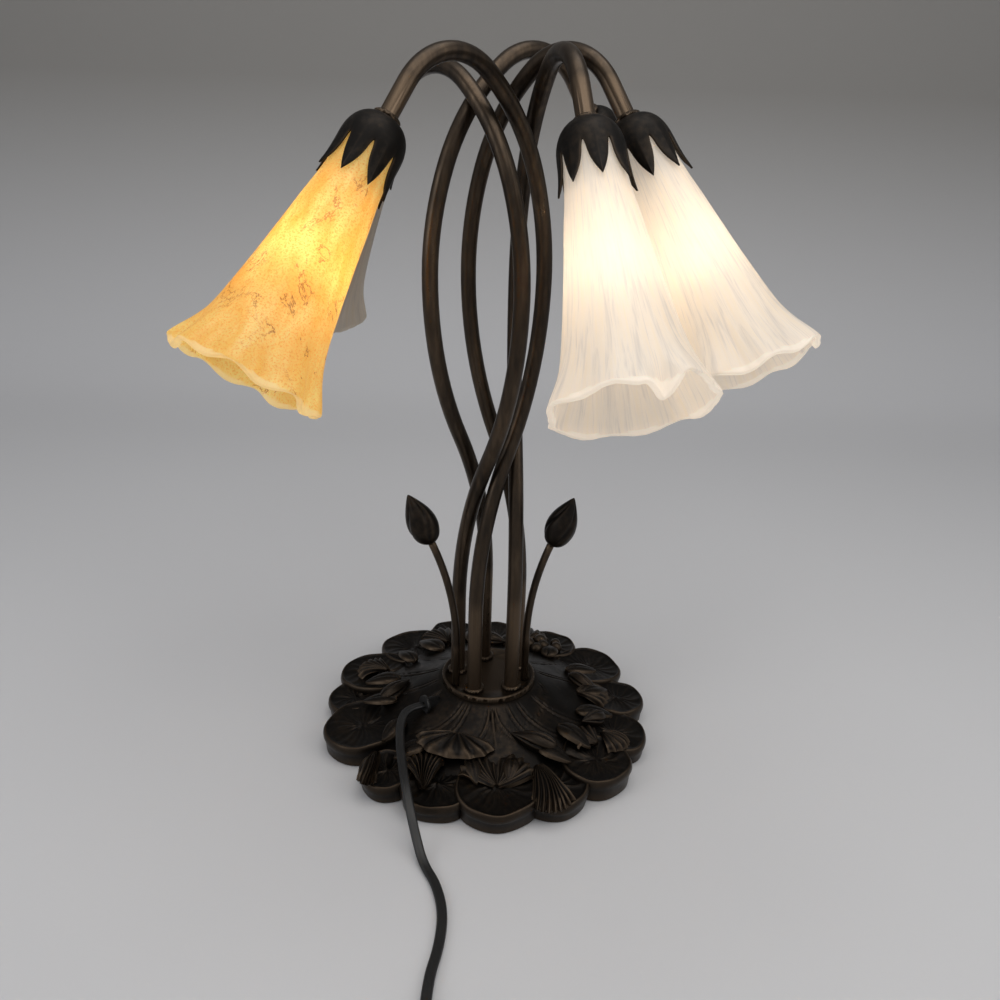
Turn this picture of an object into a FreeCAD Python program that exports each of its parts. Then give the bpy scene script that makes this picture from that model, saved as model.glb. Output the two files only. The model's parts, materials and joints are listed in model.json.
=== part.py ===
"""Five-light tulip shade table lamp: bent tube arms, petal calyxes, ruffled glass shades and a lily pad base.

Millimetres, +Z up. The origin is on the lamp's axis at the surface that it stands on; the front is -Y.
"""

import FreeCAD
import Part

import math
import os

V = FreeCAD.Vector
UP = V(0, 0, 1)

# ---------------------------------------------------------------- driving dimensions

# Cast base: a hollow disc of lily pads round a central dome.
FELT_THICKNESS = 2.5
FELT_PROUD = 1.0          # how far the felt stands below the casting
FELT_RADIUS = 109.0
PLATE_THICKNESS = 1.2     # steel plate that closes the base
PLATE_RADIUS = 111.0
FIT_GAP = 0.15            # radial clearance of a seat
CAVITY_RADIUS = 105.0
CAST_WALL = 4.0
DOME_TOP_Z = 45.0
DOME_TOP_RADIUS = 42.0
DOME_FOOT_RADIUS = 96.0
DOME_FOOT_Z = 23.0
SKIRT_TOP_Z = 12.0
SKIRT_INSET = 2.0         # the skirt under a pad is this much smaller than the pad
PAD_THICKNESS = 9.0
PAD_RIM_WIDTH = 5.0
PAD_DISH = 2.5            # depth of a pad's dished top

# Each pad round the base: azimuth (degrees), distance of its centre from the axis, radius, height of its rim.
PADS = [
    (275.0, 112.5, 34.0, 22.0),
    (251.0, 115.0, 29.0, 19.5),
    (230.0, 121.0, 23.0, 18.5),
    (201.0, 112.0, 33.0, 22.0),
    (178.0, 118.0, 24.0, 19.0),
    (159.0, 111.0, 32.0, 22.5),
    (130.0, 111.0, 33.0, 21.5),
    (108.0, 119.0, 22.0, 23.5),
    (86.0, 114.0, 28.0, 20.5),
    (59.0, 112.0, 27.0, 22.0),
    (33.0, 112.0, 31.0, 21.5),
    (7.0, 116.0, 26.0, 19.5),
    (342.0, 113.0, 29.0, 19.0),
    (319.0, 118.0, 29.0, 22.5),
    (297.0, 117.0, 28.0, 19.0),
]

# Small castings on the dome and pads: closed buds that lie down, berries and pleated leaves.
LYING_BUDS = [
    # azimuth, distance of the bud's root, height of its axis, length, greatest radius, heading, rise in degrees
    (313.0, 70.0, 34.0, 42.0, 9.0, 282.0, -12.0),
    (176.0, 68.0, 33.0, 34.0, 9.0, 215.0, -10.0),
    (22.0, 74.0, 32.0, 32.0, 7.5, 320.0, -8.0),
]
BERRIES = [
    # azimuth, distance from the axis, height, radius
    (66.0, 92.0, 27.0, 7.0),
    (58.0, 98.0, 25.0, 6.0),
    (62.0, 106.0, 25.0, 6.5),
    (52.0, 105.0, 24.0, 5.5),
    (70.0, 104.0, 25.0, 6.0),
]
PLEATED_LEAVES = [
    # azimuth and distance of the root, its height, length, pleats, spread in degrees, heading, fall along the length
    (276.5, 134.0, 27.0, 36.0, 9, 150.0, 96.0, -1.0),
    (299.0, 90.0, 26.0, 43.0, 7, 60.0, 299.5, 6.0),
    (228.0, 96.0, 26.0, 40.0, 6, 56.0, 232.0, 7.0),
    (258.0, 73.0, 38.0, 34.0, 8, 120.0, 262.0, 6.0),
    (205.0, 98.0, 28.0, 34.0, 7, 90.0, 205.0, 6.0),
]
PLEAT_DEPTH = 3.0

# Screws that hold the bottom plate.
PLATE_SCREWS = 3
PLATE_SCREW_RING = 78.0
PLATE_SCREW_RADIUS = 2.0
PLATE_SCREW_LENGTH = 10.0
PLATE_SCREW_HEAD = 4.0
PLATE_SCREW_HEAD_HEIGHT = 1.4
BOSS_RADIUS = 5.5

# Stem plate: the round flange that the arms stand on.
STEM_PLATE_RADIUS = 40.3
STEM_PLATE_THICKNESS = 3.0
STEM_PLATE_RIM = 1.8      # height of the raised rim
STEM_PLATE_RIM_WIDTH = 2.8
FOOT_RING = 27.2          # the arms' feet are evenly spaced on this radius
FOOT_START = 28.0         # degrees, azimuth of the right arm's foot

# Arm tube: straight foot, then five tangent bends, all one shape.
TUBE_RADIUS = 6.0
TUBE_WALL = 1.0
FOOT_STRAIGHT = 78.0
SWELL_RADIUS = 300.0      # the lower bend that leans the arm away from its shade
SWELL_TURN = 26.3
BELLY_RADIUS = 289.0      # brings the arm back to upright
LEAN_RADIUS = 211.0
LEAN_TURN = 21.0
SHOULDER_RADIUS = 150.0
SHOULDER_TURN = 31.5
CROOK_RADIUS = 49.0       # the crook over the top
CROOK_TURN = 90.3
CROOK_END = 27.5          # straight end after the crook

# Each arm: name, its place on the foot ring, azimuth of the swell, azimuth of the crook, extra foot length,
# turn of its shade about its own axis.
ARMS = [
    ("right", 0, -36.0, -46.0, 2.0, 10.0),
    ("right_back", 1, 41.0, 40.0, 5.5, 0.0),
    ("left_back", 2, 134.0, 135.0, -7.0, 0.0),
    ("left_front", 3, 223.0, 225.0, -1.5, 20.0),
    ("front", 4, 277.0, 284.0, 0.0, 0.0),
]

# Collars, nuts and washers on the tubes.
FOOT_COLLAR_RADIUS = 8.6
FOOT_COLLAR_HEIGHT = 3.6
LOCK_NUT_RADIUS = 9.8
LOCK_NUT_HEIGHT = 5.0
WASHER_RADIUS = 10.3
WASHER_THICKNESS = 1.2
TUBE_TAIL = 3.0           # tube below the lock nut
END_COLLAR_RADIUS = 9.0
END_COLLAR_HEIGHT = 3.2

# Calyx: cast cup with pointed petals. Heights run down the shade's axis from the calyx's top.
CALYX_WALL = 1.5
CALYX_PETALS = 8
CALYX_TOP_RADIUS = 10.6   # flat top, where the tube's nut bears
CALYX_SHOULDER_RADIUS = 20.6
CALYX_SHOULDER = 18.0
CALYX_TIP = 46.0
CALYX_TIP_RADIUS = 22.6
CALYX_SLIT_TOP = 22.0
CALYX_SLIT_WAIST = 36.0   # where the slit is still narrow
CALYX_SLIT_WAIST_WIDTH = 4.4

# Lamp socket, its nut and the ring that clamps the shade.
SOCKET_NUT_HEIGHT = 3.5
SOCKET_RADIUS = 11.5
SOCKET_LENGTH = 42.0
SOCKET_TOP_WALL = 6.0
SOCKET_SHOULDER_RADIUS = 13.2   # bears on top of the shade's neck
RING_RADIUS = 13.9
RING_HEIGHT = 4.0

# Bulb: candelabra cap and candle-shaped glass.
CAP_RADIUS = 6.9
CAP_LENGTH = 17.0
CAP_SHOW = 3.0            # cap outside the socket
BULB_RADIUS = 15.5
BULB_LENGTH = 72.0
BULB_NECK = 6.4

# Shade: tulip of pressed glass, flared and ruffled at the mouth.
GLASS_WALL = 2.4
SHADE_TOP = 14.5          # top face of its neck, from the calyx's top
NECK_HOLE_GAP = 0.5       # round the socket
# (distance down the axis, outer radius, depth of the ruffle)
SHADE_PROFILE = [
    (14.5, 16.8, 0.0),
    (17.5, 17.5, 0.0),
    (30.0, 18.1, 0.0),
    (62.0, 22.2, 0.0),
    (103.0, 28.0, 0.0),
    (141.0, 34.0, 0.4),
    (154.0, 38.0, 1.2),
    (167.0, 44.0, 2.2),
    (176.0, 47.5, 3.0),
]
RUFFLES = 7
RUFFLE_DROP = 1.1         # axial wave, as a share of the radial one

# Buds on their stems. Name, azimuth and distance of the foot, straight length, bend radius, turn, heading.
BUD_STEM_RADIUS = 3.1
BUD_STEMS = [
    ("left", 213.3, 32.9, 36.0, 240.0, 24.3, 184.0),
    ("right", 347.0, 32.0, 42.0, 250.0, 21.0, 352.0),
]
BUD_LENGTH = 45.0
BUD_RADIUS = 12.6
BUD_NUT_RADIUS = 5.5
BUD_NUT_HEIGHT = 4.0

# Flat twin flex, drawn as a round tube where it lies free and as a flat strip in its coil.
FLEX_WIDTH = 7.2
FLEX_THICKNESS = 3.6
FLEX_TUBE_RADIUS = 2.5
BUSHING_RADIUS = 6.0
BUSHING_FLANGE = 8.0
BUSHING_LENGTH = 14.0

# The flex's route from the bushing's mouth to the switch, point by point.
FLEX_ROUTE = [
    V(-54.0, -36.0, 38.5),
    V(-67.0, -44.0, 41.0),
    V(-71.0, -61.0, 37.5),
    V(-69.0, -82.0, 34.5),
    V(-65.0, -105.0, 33.0),
    V(-60.0, -128.0, 31.5),
    V(-54.5, -148.0, 23.5),
    V(-48.5, -163.0, 10.5),
    V(-42.5, -178.0, 2.6),
    V(-32.0, -196.0, 2.5),
    V(-25.5, -221.0, 2.6),
    V(-26.5, -249.0, 2.5),
    V(-32.0, -276.0, 4.2),
    V(-32.0, -303.0, 4.2),
]

# Coil of the length that is put away.
COIL_CENTRE = V(26.0, -398.0, 0)
COIL_OUTER = 52.0
COIL_PITCH = 8.6          # from turn to turn
COIL_LAYER = 5.0          # from layer to layer
COIL_TURNS = 5.25
COIL_CLIMB = 0.25         # share of a turn in which it climbs to the upper layer
COIL_START = 180.0        # degrees

# In-line rotary switch.
SWITCH_LENGTH = 50.0
SWITCH_WIDTH = 24.0
SWITCH_HEIGHT = 17.0
SWITCH_SPLIT = 8.5        # height of the joint between its base and its cover
SWITCH_CORNER = 9.0
SWITCH_EASE = 2.5         # bevel round the cover's top
WHEEL_RADIUS = 9.5
WHEEL_THICKNESS = 6.0
WHEEL_PROUD = 2.5         # how far the wheel stands out of the side
WHEEL_NOTCHES = 16
WHEEL_NOTCH_RADIUS = 0.8
WHEEL_PIN_RADIUS = 1.5
PIN_GAP = 0.05            # running fit of the wheel on its pin
RUN_GAP = 0.3
SWITCH_SCREW_RADIUS = 1.4
SWITCH_SCREW_HEAD = 2.6
SWITCH_SCREW_HEAD_HEIGHT = 1.6
SWITCH_SCREW_LENGTH = 11.0
SWITCH_SCREW_PLACE = 17.0   # from the switch's middle, along it

# Two-blade plug.
PLUG_START = V(62.0, -447.0, 8.0)   # where the flex enters it; it points along +X
PLUG_LENGTH = 32.0
PLUG_WIDTH = 24.0
PLUG_HEIGHT = 16.0
PLUG_NECK_WIDTH = 12.0
PLUG_NECK_HEIGHT = 9.0
PLUG_BEVEL = 4.0
BLADE_LENGTH = 16.0
BLADE_WIDTH = 6.3
BLADE_THICKNESS = 1.5
BLADE_SPACING = 12.7
BLADE_SEAT = 9.0          # length inside the plug

# Wiring inside the base.
LEAD_RADIUS = 1.8
LEAD_BEND = 8.0
LEAD_IN_TUBE = 8.0        # length of a lead that is drawn inside its arm
TERMINAL_APOTHEM = 12.0   # five-sided block, one side facing each lead
TERMINAL_HEIGHT = 15.0
TERMINAL_ENTRY = 8.5      # height of the leads above the block's foot

# ---------------------------------------------------------------- heights that follow

CASTING_BOTTOM = FELT_PROUD
PLATE_BOTTOM = FELT_THICKNESS
PLATE_TOP = PLATE_BOTTOM + PLATE_THICKNESS
CAST_TOP_UNDERSIDE = DOME_TOP_Z - CAST_WALL
STEM_FLOOR_Z = DOME_TOP_Z + STEM_PLATE_THICKNESS
NUT_TOP_Z = CAST_TOP_UNDERSIDE - WASHER_THICKNESS
TUBE_BOTTOM_Z = NUT_TOP_Z - LOCK_NUT_HEIGHT - TUBE_TAIL
TUBE_HOLE = TUBE_RADIUS + FIT_GAP
TERMINAL_TOP = PLATE_TOP + TERMINAL_HEIGHT
SOCKET_NUT_TOP = CALYX_WALL
SOCKET_TOP = SOCKET_NUT_TOP + SOCKET_NUT_HEIGHT
FLANGE_BOTTOM = SHADE_TOP + GLASS_WALL
CAP_TOP = SOCKET_TOP + SOCKET_LENGTH - CAP_LENGTH + CAP_SHOW
BULB_TOP = CAP_TOP + CAP_LENGTH


# ---------------------------------------------------------------- small helpers

def polar(radius, degrees, z=0.0):
    """A point at an azimuth round the lamp's axis."""
    a = math.radians(degrees)
    return V(radius * math.cos(a), radius * math.sin(a), z)


def revolve(points):
    """Turn an (r, z) outline of straight runs about the Z axis."""
    outline = [V(r, 0, z) for r, z in points]
    face = Part.Face(Part.makePolygon(outline + outline[:1]))
    return face.revolve(V(0, 0, 0), UP, 360)


def smooth(points):
    """A smooth edge through (r, z) points."""
    curve = Part.BSplineCurve()
    curve.interpolate([V(r, 0, z) for r, z in points])
    return curve.toShape()


def tube_ring(outer, inner, height, z):
    """A plain ring round the Z axis."""
    ring = Part.makeCylinder(outer, height, V(0, 0, z))
    return ring.cut(Part.makeCylinder(inner, height, V(0, 0, z)))


def hexagon(radius, height, z, hole):
    """A six-sided nut round the Z axis, its corners on the radius."""
    corners = [polar(radius, 60 * k, z) for k in range(7)]
    nut = Part.Face(Part.makePolygon(corners)).extrude(V(0, 0, height))
    return nut.cut(Part.makeCylinder(hole, height, V(0, 0, z)))


def fused(shapes):
    """One solid from many that overlap."""
    return shapes[0].multiFuse(shapes[1:]).removeSplitter()


def save(name, shape):
    """Write one sub-part."""
    if isinstance(shape, (list, tuple)):
        shape = Part.makeCompound(list(shape))
    shape.exportStep(f"parts/{name}.step")
    solids = shape.Solids
    volume = sum(s.Volume for s in solids)
    print(f"{name}: {len(solids)} solids, {volume:.0f} mm3, valid {all(s.isValid() for s in solids)}")


class Bend:
    """A centreline of straight runs and tangent arcs, each arc in a vertical plane of its own."""

    def __init__(self, start):
        self.point = start
        self.heading = 0.0
        self.edges = []

    def direction(self, azimuth):
        a = math.radians(azimuth)
        s = math.sin(self.heading)
        return V(s * math.cos(a), s * math.sin(a), math.cos(self.heading))

    def run(self, length, azimuth=0.0):
        end = self.point + self.direction(azimuth) * length
        self.edges.append(Part.LineSegment(self.point, end).toShape())
        self.point = end

    def turn(self, radius, degrees, azimuth):
        a = math.radians(azimuth)
        side = math.copysign(1.0, degrees)

        def normal(h):
            return V(math.cos(h) * math.cos(a), math.cos(h) * math.sin(a), -math.sin(h)) * side

        h0 = self.heading
        h1 = h0 + math.radians(degrees)
        centre = self.point + normal(h0) * radius
        middle = centre - normal((h0 + h1) / 2) * radius
        end = centre - normal(h1) * radius
        self.edges.append(Part.Arc(self.point, middle, end).toShape())
        self.point = end
        self.heading = h1

    def sweep(self, radius, start_direction=UP):
        start = self.edges[0].Vertexes[0].Point
        circle = Part.Wire(Part.Circle(start, start_direction, radius).toShape())
        return Part.Wire(self.edges).makePipeShell([circle], True, False)


def arm_bend(arm, past=0.0):
    """The centreline of one arm, from its lower end to where the calyx starts, or some way past that."""
    name, place, swell, crook, extra, turn = arm
    path = Bend(polar(FOOT_RING, FOOT_START + 72 * place, TUBE_BOTTOM_Z))
    path.run(STEM_FLOOR_Z - TUBE_BOTTOM_Z + FOOT_STRAIGHT + extra)
    path.turn(SWELL_RADIUS, -SWELL_TURN, swell)
    path.turn(BELLY_RADIUS, SWELL_TURN, swell)
    path.turn(LEAN_RADIUS, LEAN_TURN, crook)
    path.turn(SHOULDER_RADIUS, SHOULDER_TURN, crook)
    path.turn(CROOK_RADIUS, CROOK_TURN, crook)
    path.run(CROOK_END + past, crook)
    return path


def head_place(arm):
    """Where a shade hangs: Z down its axis from the end of the arm, X level."""
    path = arm_bend(arm)
    down = path.direction(arm[3])
    level = down.cross(UP).normalize()
    rotation = FreeCAD.Rotation(level, V(), down, "ZXY")
    about = FreeCAD.Rotation(UP, arm[5])
    return FreeCAD.Placement(path.point, rotation.multiply(about))


def at_head(shape, arm):
    """A copy of a piece, moved from the Z axis to the end of its arm."""
    moved = shape.copy()
    moved.Placement = head_place(arm).multiply(moved.Placement)
    return moved


# ---------------------------------------------------------------- base

def pad(azimuth, distance, radius, rim_z):
    """One lily pad: a dished top with a rolled rim, on a skirt that stands back from it."""
    skirt = radius - SKIRT_INSET
    low = rim_z - PAD_THICKNESS
    disc = revolve([
        (0, CASTING_BOTTOM), (skirt, CASTING_BOTTOM), (skirt, low), (radius, low + SKIRT_INSET),
        (radius, rim_z - 1.0), (radius - 1.2, rim_z), (radius - PAD_RIM_WIDTH, rim_z - 1.8), (0, rim_z - PAD_DISH),
    ])
    disc.translate(polar(distance, azimuth))
    return disc


def bud_solid(length, radius):
    """A closed bud along +Z from its root: blunt below, pointed above."""
    root = 0.22 * radius
    skin = smooth([
        (root, 0), (0.72 * radius, 0.10 * length), (radius, 0.36 * length),
        (0.80 * radius, 0.66 * length), (0.30 * radius, 0.92 * length), (0, length),
    ])
    axis = Part.makeLine(V(0, 0, length), V(0, 0, 0))
    floor = Part.makeLine(V(0, 0, 0), V(root, 0, 0))
    return Part.Face(Part.Wire([floor, skin, axis])).revolve(V(0, 0, 0), UP, 360)


def lying_bud(azimuth, distance, z, length, radius, heading, rise):
    """A bud that lies on the dome."""
    bud = bud_solid(length, radius)
    bud.rotate(V(0, 0, 0), V(0, 1, 0), 90 - rise)
    bud.rotate(V(0, 0, 0), UP, heading)
    bud.translate(polar(distance, azimuth, z))
    return bud


def pleated_leaf(azimuth, distance, z, length, pleats, spread, heading, fall):
    """A leaf folded like a fan: ridges and valleys that spread from one root."""
    root = polar(distance, azimuth, z)
    edge = []
    for k in range(2 * pleats + 1):
        angle = heading + spread * (k / (2 * pleats) - 0.5)
        ridge = PLEAT_DEPTH if k % 2 else 0.0
        edge.append(root + polar(length * (1.0 if k % 2 else 0.94), angle, ridge - fall))
    floor = z - fall - 3 * PLEAT_DEPTH
    low_root = V(root.x, root.y, floor)
    low_edge = [V(p.x, p.y, floor) for p in edge]
    triangles = []
    for a, b, c, d in zip(edge, edge[1:], low_edge, low_edge[1:]):
        triangles += [(root, a, b), (a, c, d), (a, d, b), (low_root, d, c)]
    triangles += [(root, low_root, low_edge[0]), (root, low_edge[0], edge[0])]
    triangles += [(root, edge[-1], low_edge[-1]), (root, low_edge[-1], low_root)]
    faces = [Part.Face(Part.makePolygon(list(t) + [t[0]])) for t in triangles]
    shell = Part.makeShell(faces)
    shell.sewShape()
    leaf = Part.makeSolid(shell)
    if leaf.Volume < 0:
        leaf.reverse()
    return leaf


def cavity():
    """The hollow of the casting, with the seat of the bottom plate."""
    inner_foot = DOME_FOOT_RADIUS - CAST_WALL
    return revolve([
        (0, CASTING_BOTTOM - 1), (PLATE_RADIUS + FIT_GAP, CASTING_BOTTOM - 1),
        (PLATE_RADIUS + FIT_GAP, PLATE_TOP), (CAVITY_RADIUS, PLATE_TOP),
        (CAVITY_RADIUS, SKIRT_TOP_Z - CAST_WALL / 2), (inner_foot, DOME_FOOT_Z - 2 * CAST_WALL),
        (DOME_TOP_RADIUS, CAST_TOP_UNDERSIDE), (0, CAST_TOP_UNDERSIDE),
    ])


def screw_boss(k):
    """A boss under the dome for one bottom plate screw."""
    return Part.makeCylinder(
        BOSS_RADIUS, DOME_FOOT_Z - PLATE_TOP, polar(PLATE_SCREW_RING, 30 + 360 / PLATE_SCREWS * k, PLATE_TOP)
    )


def screw_hole(k):
    """The screw's hole in its boss."""
    return Part.makeCylinder(
        PLATE_SCREW_RADIUS + FIT_GAP / 3, PLATE_SCREW_LENGTH,
        polar(PLATE_SCREW_RING, 30 + 360 / PLATE_SCREWS * k, PLATE_TOP),
    )


def stem_holes(radius, bud_radius, low, high):
    """Holes for the arms and the bud stems, through a plate."""
    holes = [Part.makeCylinder(radius, high - low, polar(FOOT_RING, FOOT_START + 72 * arm[1], low)) for arm in ARMS]
    for name, azimuth, distance, *rest in BUD_STEMS:
        holes.append(Part.makeCylinder(bud_radius, high - low, polar(distance, azimuth, low)))
    return holes


def bushing_axis():
    """Where the flex leaves the casting, and which way."""
    mouth = FLEX_ROUTE[0]
    outward = (FLEX_ROUTE[1] - FLEX_ROUTE[0]).normalize()
    return mouth, outward


def base_casting():
    """Dome, pads, skirt and ornaments in one hollow casting."""
    dome = revolve([
        (0, CASTING_BOTTOM), (CAVITY_RADIUS + CAST_WALL + 6, CASTING_BOTTOM),
        (CAVITY_RADIUS + CAST_WALL + 6, SKIRT_TOP_Z), (DOME_FOOT_RADIUS, DOME_FOOT_Z - 5),
        (DOME_FOOT_RADIUS - 12, DOME_FOOT_Z + 2.5), (62, 36.5), (DOME_TOP_RADIUS + 6, 43.2),
        (DOME_TOP_RADIUS, DOME_TOP_Z), (0, DOME_TOP_Z),
    ])
    solids = [dome] + [pad(*row) for row in PADS]
    solids += [lying_bud(*row) for row in LYING_BUDS]
    solids += [Part.makeSphere(radius, polar(distance, azimuth, z)) for azimuth, distance, z, radius in BERRIES]
    solids += [pleated_leaf(*row) for row in PLEATED_LEAVES]
    body = fused(solids)
    mouth, outward = bushing_axis()
    recess = Part.makeCylinder(BUSHING_FLANGE + 1.0, 20.0, mouth - outward * 2.5, outward)
    body = body.cut([cavity(), recess])
    body = body.fuse([screw_boss(k) for k in range(PLATE_SCREWS)])
    cuts = [screw_hole(k) for k in range(PLATE_SCREWS)]
    cuts += stem_holes(TUBE_HOLE, BUD_STEM_RADIUS + FIT_GAP, CAST_TOP_UNDERSIDE - 1, DOME_TOP_Z + 1)
    cuts.append(Part.makeCylinder(BUSHING_RADIUS + FIT_GAP, 40.0, mouth - outward * 30.0, outward))
    body = body.cut(cuts).removeSplitter()
    return max(body.Solids, key=lambda s: s.Volume)


def build_base():
    save("base_casting", base_casting())
    plate = Part.makeCylinder(PLATE_RADIUS, PLATE_THICKNESS, V(0, 0, PLATE_BOTTOM))
    felt = Part.makeCylinder(FELT_RADIUS, FELT_THICKNESS, V(0, 0, 0))
    screws = []
    for k in range(PLATE_SCREWS):
        place = polar(PLATE_SCREW_RING, 30 + 360 / PLATE_SCREWS * k, 0)
        hole = Part.makeCylinder(PLATE_SCREW_RADIUS + FIT_GAP, PLATE_THICKNESS, place + V(0, 0, PLATE_BOTTOM))
        plate = plate.cut(hole)
        pocket = Part.makeCylinder(PLATE_SCREW_HEAD + 1.0, FELT_THICKNESS, place)
        felt = felt.cut(pocket)
        head_z = PLATE_BOTTOM - PLATE_SCREW_HEAD_HEIGHT
        head = Part.makeCylinder(PLATE_SCREW_HEAD, PLATE_SCREW_HEAD_HEIGHT, place + V(0, 0, head_z))
        shank_length = PLATE_THICKNESS + PLATE_SCREW_LENGTH - 2.0
        shank = Part.makeCylinder(PLATE_SCREW_RADIUS, shank_length, place + V(0, 0, PLATE_BOTTOM))
        screws.append(head.fuse(shank).removeSplitter())
    save("base_plate", plate)
    save("base_felt", felt)
    save("base_plate_screws", screws)


# ---------------------------------------------------------------- stem plate and arms

def stem_plate():
    """Round flange with a raised, rounded rim."""
    top = STEM_FLOOR_Z + STEM_PLATE_RIM
    inner = STEM_PLATE_RADIUS - STEM_PLATE_RIM_WIDTH
    disc = revolve([
        (0, DOME_TOP_Z), (STEM_PLATE_RADIUS, DOME_TOP_Z), (STEM_PLATE_RADIUS, top - 0.8),
        (STEM_PLATE_RADIUS - 0.8, top), (inner + 0.6, top), (inner - 0.6, STEM_FLOOR_Z), (0, STEM_FLOOR_Z),
    ])
    return disc.cut(stem_holes(TUBE_HOLE, BUD_STEM_RADIUS + FIT_GAP, DOME_TOP_Z - 1, top + 1))


def rolled_ring(outer, inner, height, z):
    """A collar with rounded edges."""
    ease = min(1.0, height / 4)
    return revolve([
        (inner, z), (outer - ease, z), (outer, z + ease), (outer, z + height - ease),
        (outer - ease, z + height), (inner, z + height),
    ])


def build_arms():
    collars, nuts, washers, end_collars = [], [], [], []
    for arm in ARMS:
        path = arm_bend(arm, SOCKET_TOP)
        tube = path.sweep(TUBE_RADIUS).cut(path.sweep(TUBE_RADIUS - TUBE_WALL))
        foot = polar(FOOT_RING, FOOT_START + 72 * arm[1])
        save(f"arm_tube_{arm[0]}", tube)
        collars.append(rolled_ring(FOOT_COLLAR_RADIUS, TUBE_HOLE, FOOT_COLLAR_HEIGHT, STEM_FLOOR_Z).translated(foot))
        nuts.append(hexagon(LOCK_NUT_RADIUS, LOCK_NUT_HEIGHT, NUT_TOP_Z - LOCK_NUT_HEIGHT, TUBE_HOLE).translated(foot))
        washers.append(tube_ring(WASHER_RADIUS, TUBE_HOLE, WASHER_THICKNESS, NUT_TOP_Z).translated(foot))
        end_collars.append(at_head(rolled_ring(END_COLLAR_RADIUS, TUBE_HOLE, END_COLLAR_HEIGHT, -END_COLLAR_HEIGHT), arm))
    save("foot_collars", collars)
    save("lock_nuts", nuts)
    save("washers", washers)
    save("end_collars", end_collars)


# ---------------------------------------------------------------- heads: calyx, socket, bulb, shade

def calyx_wall(offset):
    """Edges of the calyx's outer outline, or of its inner one where an offset is given, from top to tip."""
    flat = CALYX_TOP_RADIUS - offset * 0.3
    bell = smooth([
        (flat, offset), (16.2 - offset * 0.75, 3.8 + offset * 0.75),
        (CALYX_SHOULDER_RADIUS - 1.1 - offset, 10.6 + offset * 0.3), (CALYX_SHOULDER_RADIUS - offset, CALYX_SHOULDER),
    ])
    waist = V(CALYX_SHOULDER_RADIUS + 0.3 - offset, 0, CALYX_SLIT_WAIST - 3)
    return [
        Part.makeLine(V(TUBE_HOLE, 0, offset), V(flat, 0, offset)),
        bell,
        Part.makeLine(V(CALYX_SHOULDER_RADIUS - offset, 0, CALYX_SHOULDER), waist),
        Part.makeLine(waist, V(CALYX_TIP_RADIUS - offset, 0, CALYX_TIP)),
    ]


def calyx():
    """Cup of revolution with slits that leave pointed petals."""
    top = Part.makeLine(V(TUBE_HOLE, 0, CALYX_WALL), V(TUBE_HOLE, 0, 0))
    tip = Part.makeLine(V(CALYX_TIP_RADIUS, 0, CALYX_TIP), V(CALYX_TIP_RADIUS - CALYX_WALL, 0, CALYX_TIP))
    outline = calyx_wall(0) + [tip] + calyx_wall(CALYX_WALL) + [top]
    cup = Part.Face(Part.Wire(Part.__sortEdges__(outline))).revolve(V(0, 0, 0), UP, 360)
    half = math.pi * CALYX_TIP_RADIUS / CALYX_PETALS
    waist = CALYX_SLIT_WAIST_WIDTH / 2
    low = CALYX_TIP + 1.0
    side = [
        V(10, waist * 0.35, CALYX_SLIT_TOP + 2.0), V(10, waist, CALYX_SLIT_WAIST),
        V(10, waist + (half - waist) * 0.45, (CALYX_SLIT_WAIST + CALYX_TIP) / 2 + 1.5), V(10, half, low),
    ]
    mirrored = [V(p.x, -p.y, p.z) for p in reversed(side)]
    apex = V(10, 0, CALYX_SLIT_TOP)
    slit = Part.Face(Part.makePolygon([apex] + side + mirrored + [apex])).extrude(V(CALYX_TIP_RADIUS, 0, 0))
    slits = []
    for k in range(CALYX_PETALS):
        copy = slit.copy()
        copy.rotate(V(0, 0, 0), UP, 360 / CALYX_PETALS * (k + 0.5))
        slits.append(copy)
    return cup.cut(slits)


def socket():
    """Lamp holder: a shell that is open towards the bulb."""
    body = Part.makeCylinder(SOCKET_RADIUS, SOCKET_LENGTH, V(0, 0, SOCKET_TOP))
    body = body.fuse(Part.makeCylinder(SOCKET_SHOULDER_RADIUS, SHADE_TOP - SOCKET_TOP, V(0, 0, SOCKET_TOP)))
    bore = Part.makeCylinder(CAP_RADIUS + FIT_GAP, SOCKET_LENGTH, V(0, 0, SOCKET_TOP + SOCKET_TOP_WALL))
    return body.cut(bore).removeSplitter()


def bulb_cap():
    """Threaded cap, drawn as a plain shell with its end contact."""
    return revolve([
        (0, CAP_TOP), (2.5, CAP_TOP), (CAP_RADIUS - 1.2, CAP_TOP + 3), (CAP_RADIUS, CAP_TOP + 4.5),
        (CAP_RADIUS, BULB_TOP), (0, BULB_TOP),
    ])


def bulb_glass():
    """Candle-shaped envelope."""
    skin = smooth([
        (BULB_NECK, BULB_TOP), (0.80 * BULB_RADIUS, BULB_TOP + 0.15 * BULB_LENGTH),
        (BULB_RADIUS, BULB_TOP + 0.42 * BULB_LENGTH), (0.70 * BULB_RADIUS, BULB_TOP + 0.76 * BULB_LENGTH),
        (0.24 * BULB_RADIUS, BULB_TOP + 0.96 * BULB_LENGTH), (0, BULB_TOP + BULB_LENGTH),
    ])
    neck = Part.makeLine(V(0, 0, BULB_TOP), V(BULB_NECK, 0, BULB_TOP))
    axis = Part.makeLine(V(0, 0, BULB_TOP + BULB_LENGTH), V(0, 0, BULB_TOP))
    return Part.Face(Part.Wire([neck, skin, axis])).revolve(V(0, 0, 0), UP, 360)


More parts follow.
